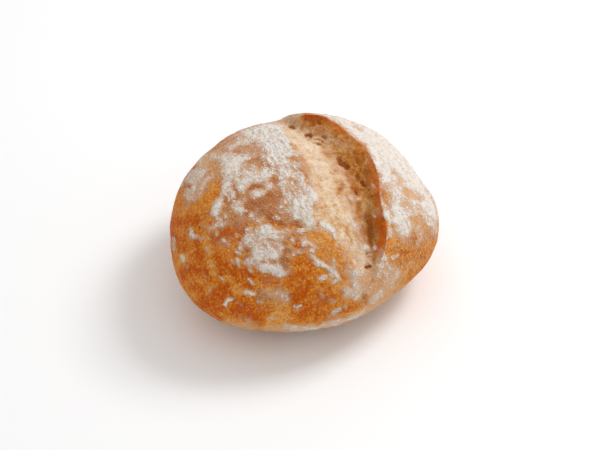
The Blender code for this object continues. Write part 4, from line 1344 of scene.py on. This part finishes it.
def bread_material():
    material = bpy.data.materials.new("bread")
    material.use_nodes = True
    n = Nodes(material)
    shader = material.node_tree.nodes["Principled BSDF"]
    where = n.add("ShaderNodeTexCoord").outputs["Object"]
    flour_and_painted_shading, toast_and_painted_shading = n.attribute("flour_and_painted_shading"), n.attribute("toast_and_painted_shading")
    crumb, wall = n.attribute("crumb"), n.attribute("wall")
    lip, pit_and_painted_shade = n.attribute("lip"), n.attribute("pit_and_painted_shade")
    dusty, ridge = n.attribute("dusty"), n.attribute("ridge")

    broad = n.noise(where, 0.0110, 3.0)
    patchy = n.noise(where, 0.0052, 3.0, 0.6)
    mosaic = n.noise(where, 0.0024, 2.0, 0.6)
    grain = n.noise(where, 0.0012, 1.5, 0.5)
    flecks = n.noise(n.lengthwise(where, 1.9), 0.0016, 2.0, 0.6)

    # crust: golden to red-brown in a fine mosaic
    speckled = n.math("MULTIPLY", n.plus((grain, 0.30), (flecks, 0.18)), n.ramp(patchy, -0.7, 0.7, 0.65, 1.35))
    speckled = n.math("MULTIPLY", speckled, n.ramp(toast_and_painted_shading, 0.30, 0.90, 1.0, 1.35))
    blotch = n.ramp(n.noise(where, 0.0044, 2.5, 0.55), 0.10, 0.50, 0.0, n.ramp(toast_and_painted_shading, 0.2, 0.8, 0.10, 0.34))
    baked = n.plus(toast_and_painted_shading, -0.05, (broad, 0.10), (patchy, 0.16), (mosaic, 0.26), speckled, blotch)
    crust = n.colours(
        baked,
        (
            (0.0, linear(217, 160, 92)),
            (0.25, linear(210, 140, 60)),
            (0.50, linear(203, 120, 34)),
            (0.75, linear(196, 98, 14)),
            (1.0, linear(180, 76, 6)),
        ),
    )
    # under flour it is duller and browner
    dull = n.colours(
        baked,
        (
            (0.0, linear(214, 166, 118)),
            (0.35, linear(194, 136, 84)),
            (0.65, linear(174, 108, 58)),
            (1.0, linear(156, 86, 38)),
        ),
    )
    dulled = n.ramp(n.plus(dusty, (patchy, 0.22), (mosaic, 0.22)), 0.22, 0.84)
    dulled = n.math("MAXIMUM", n.ramp(n.plus(flour_and_painted_shading, (mosaic, 0.04)), 0.0, 0.30, 0.0, 0.85), dulled)
    crust = n.mix(dulled, crust, dull)
    # crumb in the slash: cream with tan mottles
    mottle = n.noise(where, 0.0036, 2.0, 0.6)
    creamy = n.plus(toast_and_painted_shading, -0.04, (mottle, 0.16), (patchy, 0.20), (broad, 0.16), (mosaic, 0.12), (grain, 0.14))
    crumb_colour = n.colours(
        creamy,
        (
            (0.05, linear(233, 215, 193)),
            (0.45, linear(221, 191, 158)),
            (0.80, linear(202, 156, 107)),
            (1.0, linear(190, 130, 70)),
        ),
    )
    # the torn wall under the ear, its brown reaching onto the crumb's slope into the groove partly as painted shade
    torn = n.plus(toast_and_painted_shading, (mottle, 0.30), (patchy, 0.18), (mosaic, 0.22), (grain, 0.16))
    wall_colour = n.colours(
        torn,
        (
            (0.05, linear(204, 155, 98)),
            (0.45, linear(180, 115, 46)),
            (0.75, linear(164, 90, 20)),
            (1.0, linear(138, 70, 14)),
        ),
    )
    lip_colour = n.colours(
        n.plus(toast_and_painted_shading, (patchy, 0.22), (mosaic, 0.24)),
        ((0.15, linear(204, 104, 22)), (0.50, linear(190, 84, 8)), (0.95, linear(158, 64, 4))),
    )
    colour = n.mix(crumb, crust, crumb_colour)
    colour = n.mix(wall, colour, wall_colour)
    colour = n.mix(lip, colour, lip_colour)
    # pores and pits turn darker brown: partly their own colour, partly painted shade
    colour = n.mix(
        n.ramp(pit_and_painted_shade, 0.05, 0.95),
        colour,
        n.mix(n.ramp(pit_and_painted_shade, 0.3, 1.0), linear(164, 102, 48), linear(132, 68, 18)),
    )

    # flour: thin dust to a thick crinkled coat, with a grainy edge
    folds = n.math("MULTIPLY", n.noise(n.lengthwise(where, 3.0), 0.0020, 2.0, 0.55), ridge)
    uneven = n.plus((patchy, 0.16), (mosaic, 0.46), (grain, 0.30), (folds, 0.42))
    uneven = n.math("MULTIPLY", uneven, n.ramp(flour_and_painted_shading, 0.75, 1.0, 1.0, 0.65))
    uneven = n.math("MULTIPLY", uneven, n.ramp(n.math("MAXIMUM", crumb, wall), 0.0, 1.0, 1.0, 0.42))
    clouds = n.math("MULTIPLY", patchy, n.ramp(flour_and_painted_shading, 0.02, 0.25, 0.0, 0.22))
    film = n.plus(flour_and_painted_shading, (mosaic, 0.12), (grain, 0.20), clouds)
    film = n.math("MULTIPLY", n.ramp(film, 0.02, 0.72), 0.60)
    coat = n.ramp(n.math("MULTIPLY_ADD", uneven, n.ramp(flour_and_painted_shading, 0.05, 0.60, 0.35, 1.0), flour_and_painted_shading), 0.44, 0.78)
    speck = n.noise(where, 0.0014, 1.0, 0.5)
    dust = n.math("MULTIPLY", n.ramp(speck, 0.66, 1.00), n.ramp(n.plus(broad, dusty), -0.8, 0.9))
    dust = n.math("MULTIPLY", dust, n.ramp(wall, 0.0, 1.0, 1.0, 0.25))
    film = n.math("MAXIMUM", film, n.math("MULTIPLY", dust, 0.60))
    film = n.math("MULTIPLY", film, n.ramp(pit_and_painted_shade, 0.1, 0.7, 1.0, 0.15))
    cover = n.math("MAXIMUM", film, coat)
    flour_colour = n.colours(
        n.plus(0.36, (n.ramp(flour_and_painted_shading, 0.75, 1.0), 0.24), (patchy, 0.12), (mosaic, 0.22), (grain, 0.14), (folds, 0.34)),
        (
            (0.0, linear(190, 166, 146)),
            (0.35, linear(209, 193, 179)),
            (0.65, linear(222, 214, 205)),
            (1.0, linear(232, 230, 225)),
        ),
    )
    colour = n.mix(film, colour, linear(220, 191, 168))
    colour = n.mix(n.math("MULTIPLY", coat, 0.96), colour, flour_colour)
    n.tree.links.new(colour, shader.inputs["Base Color"])

    n.tree.links.new(n.ramp(cover, 0.0, 1.0, 0.62, 0.92, "LINEAR"), shader.inputs["Roughness"])
    shader.inputs["Specular IOR Level"].default_value = 0.04

    height = n.plus((mosaic, 0.18), (grain, 0.12), (patchy, 0.16), (cover, 0.40), (folds, 0.42))
    bump = n.add("ShaderNodeBump")
    bump.inputs["Strength"].default_value = 0.85
    bump.inputs["Distance"].default_value = 0.0010
    n.tree.links.new(height, bump.inputs["Height"])
    n.tree.links.new(bump.outputs["Normal"], shader.inputs["Normal"])
    return material


def plain_material(name, colour, rough):
    material = bpy.data.materials.new(name)
    material.use_nodes = True
    shader = material.node_tree.nodes["Principled BSDF"]
    shader.inputs["Base Color"].default_value = colour
    shader.inputs["Roughness"].default_value = rough
    shader.inputs["Specular IOR Level"].default_value = 0.2
    return material


loaf = build_loaf()
loaf.data.materials.append(bread_material())
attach(loaf, "root")
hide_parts("boule")

# ======================================================================
# Floor, light and camera
# ======================================================================
bpy.ops.mesh.primitive_plane_add(size=8.0, location=(0.0, 0.0, 0.0))
floor = bpy.context.object
floor.name = "floor"
floor.data.materials.append(plain_material("floor", (0.95, 0.95, 0.95, 1.0), 0.9))

world = bpy.data.worlds.new("studio")
bpy.context.scene.world = world
world.use_nodes = True
world.node_tree.nodes["Background"].inputs["Color"].default_value = (1.0, 1.0, 1.0, 1.0)
world.node_tree.nodes["Background"].inputs["Strength"].default_value = 0.742


def area_light(name, place, size, power, aim=(0.0, 0.0, 0.04)):
    data = bpy.data.lights.new(name, "AREA")
    data.shape = "SQUARE"
    data.size = size
    data.energy = power
    lamp = bpy.data.objects.new(name, data)
    lamp.location = place
    lamp.rotation_euler = (Vector(aim) - Vector(place)).to_track_quat("-Z", "Y").to_euler()
    bpy.context.scene.collection.objects.link(lamp)
    return lamp


area_light("key", (0.75, 0.45, 1.05), 0.5, 9.2)

camera = bpy.data.objects.new("camera", bpy.data.cameras.new("camera"))
camera.data.lens = LENS
camera.data.sensor_width = SENSOR
camera.location = Vector(camera_axes()[0].tolist())
camera.rotation_euler = (math.radians(90.0 - ELEVATION), 0.0, 0.0)
bpy.context.scene.collection.objects.link(camera)
bpy.context.scene.camera = camera
bpy.context.scene.view_settings.view_transform = "Standard"
bpy.context.scene.view_settings.look = "None"
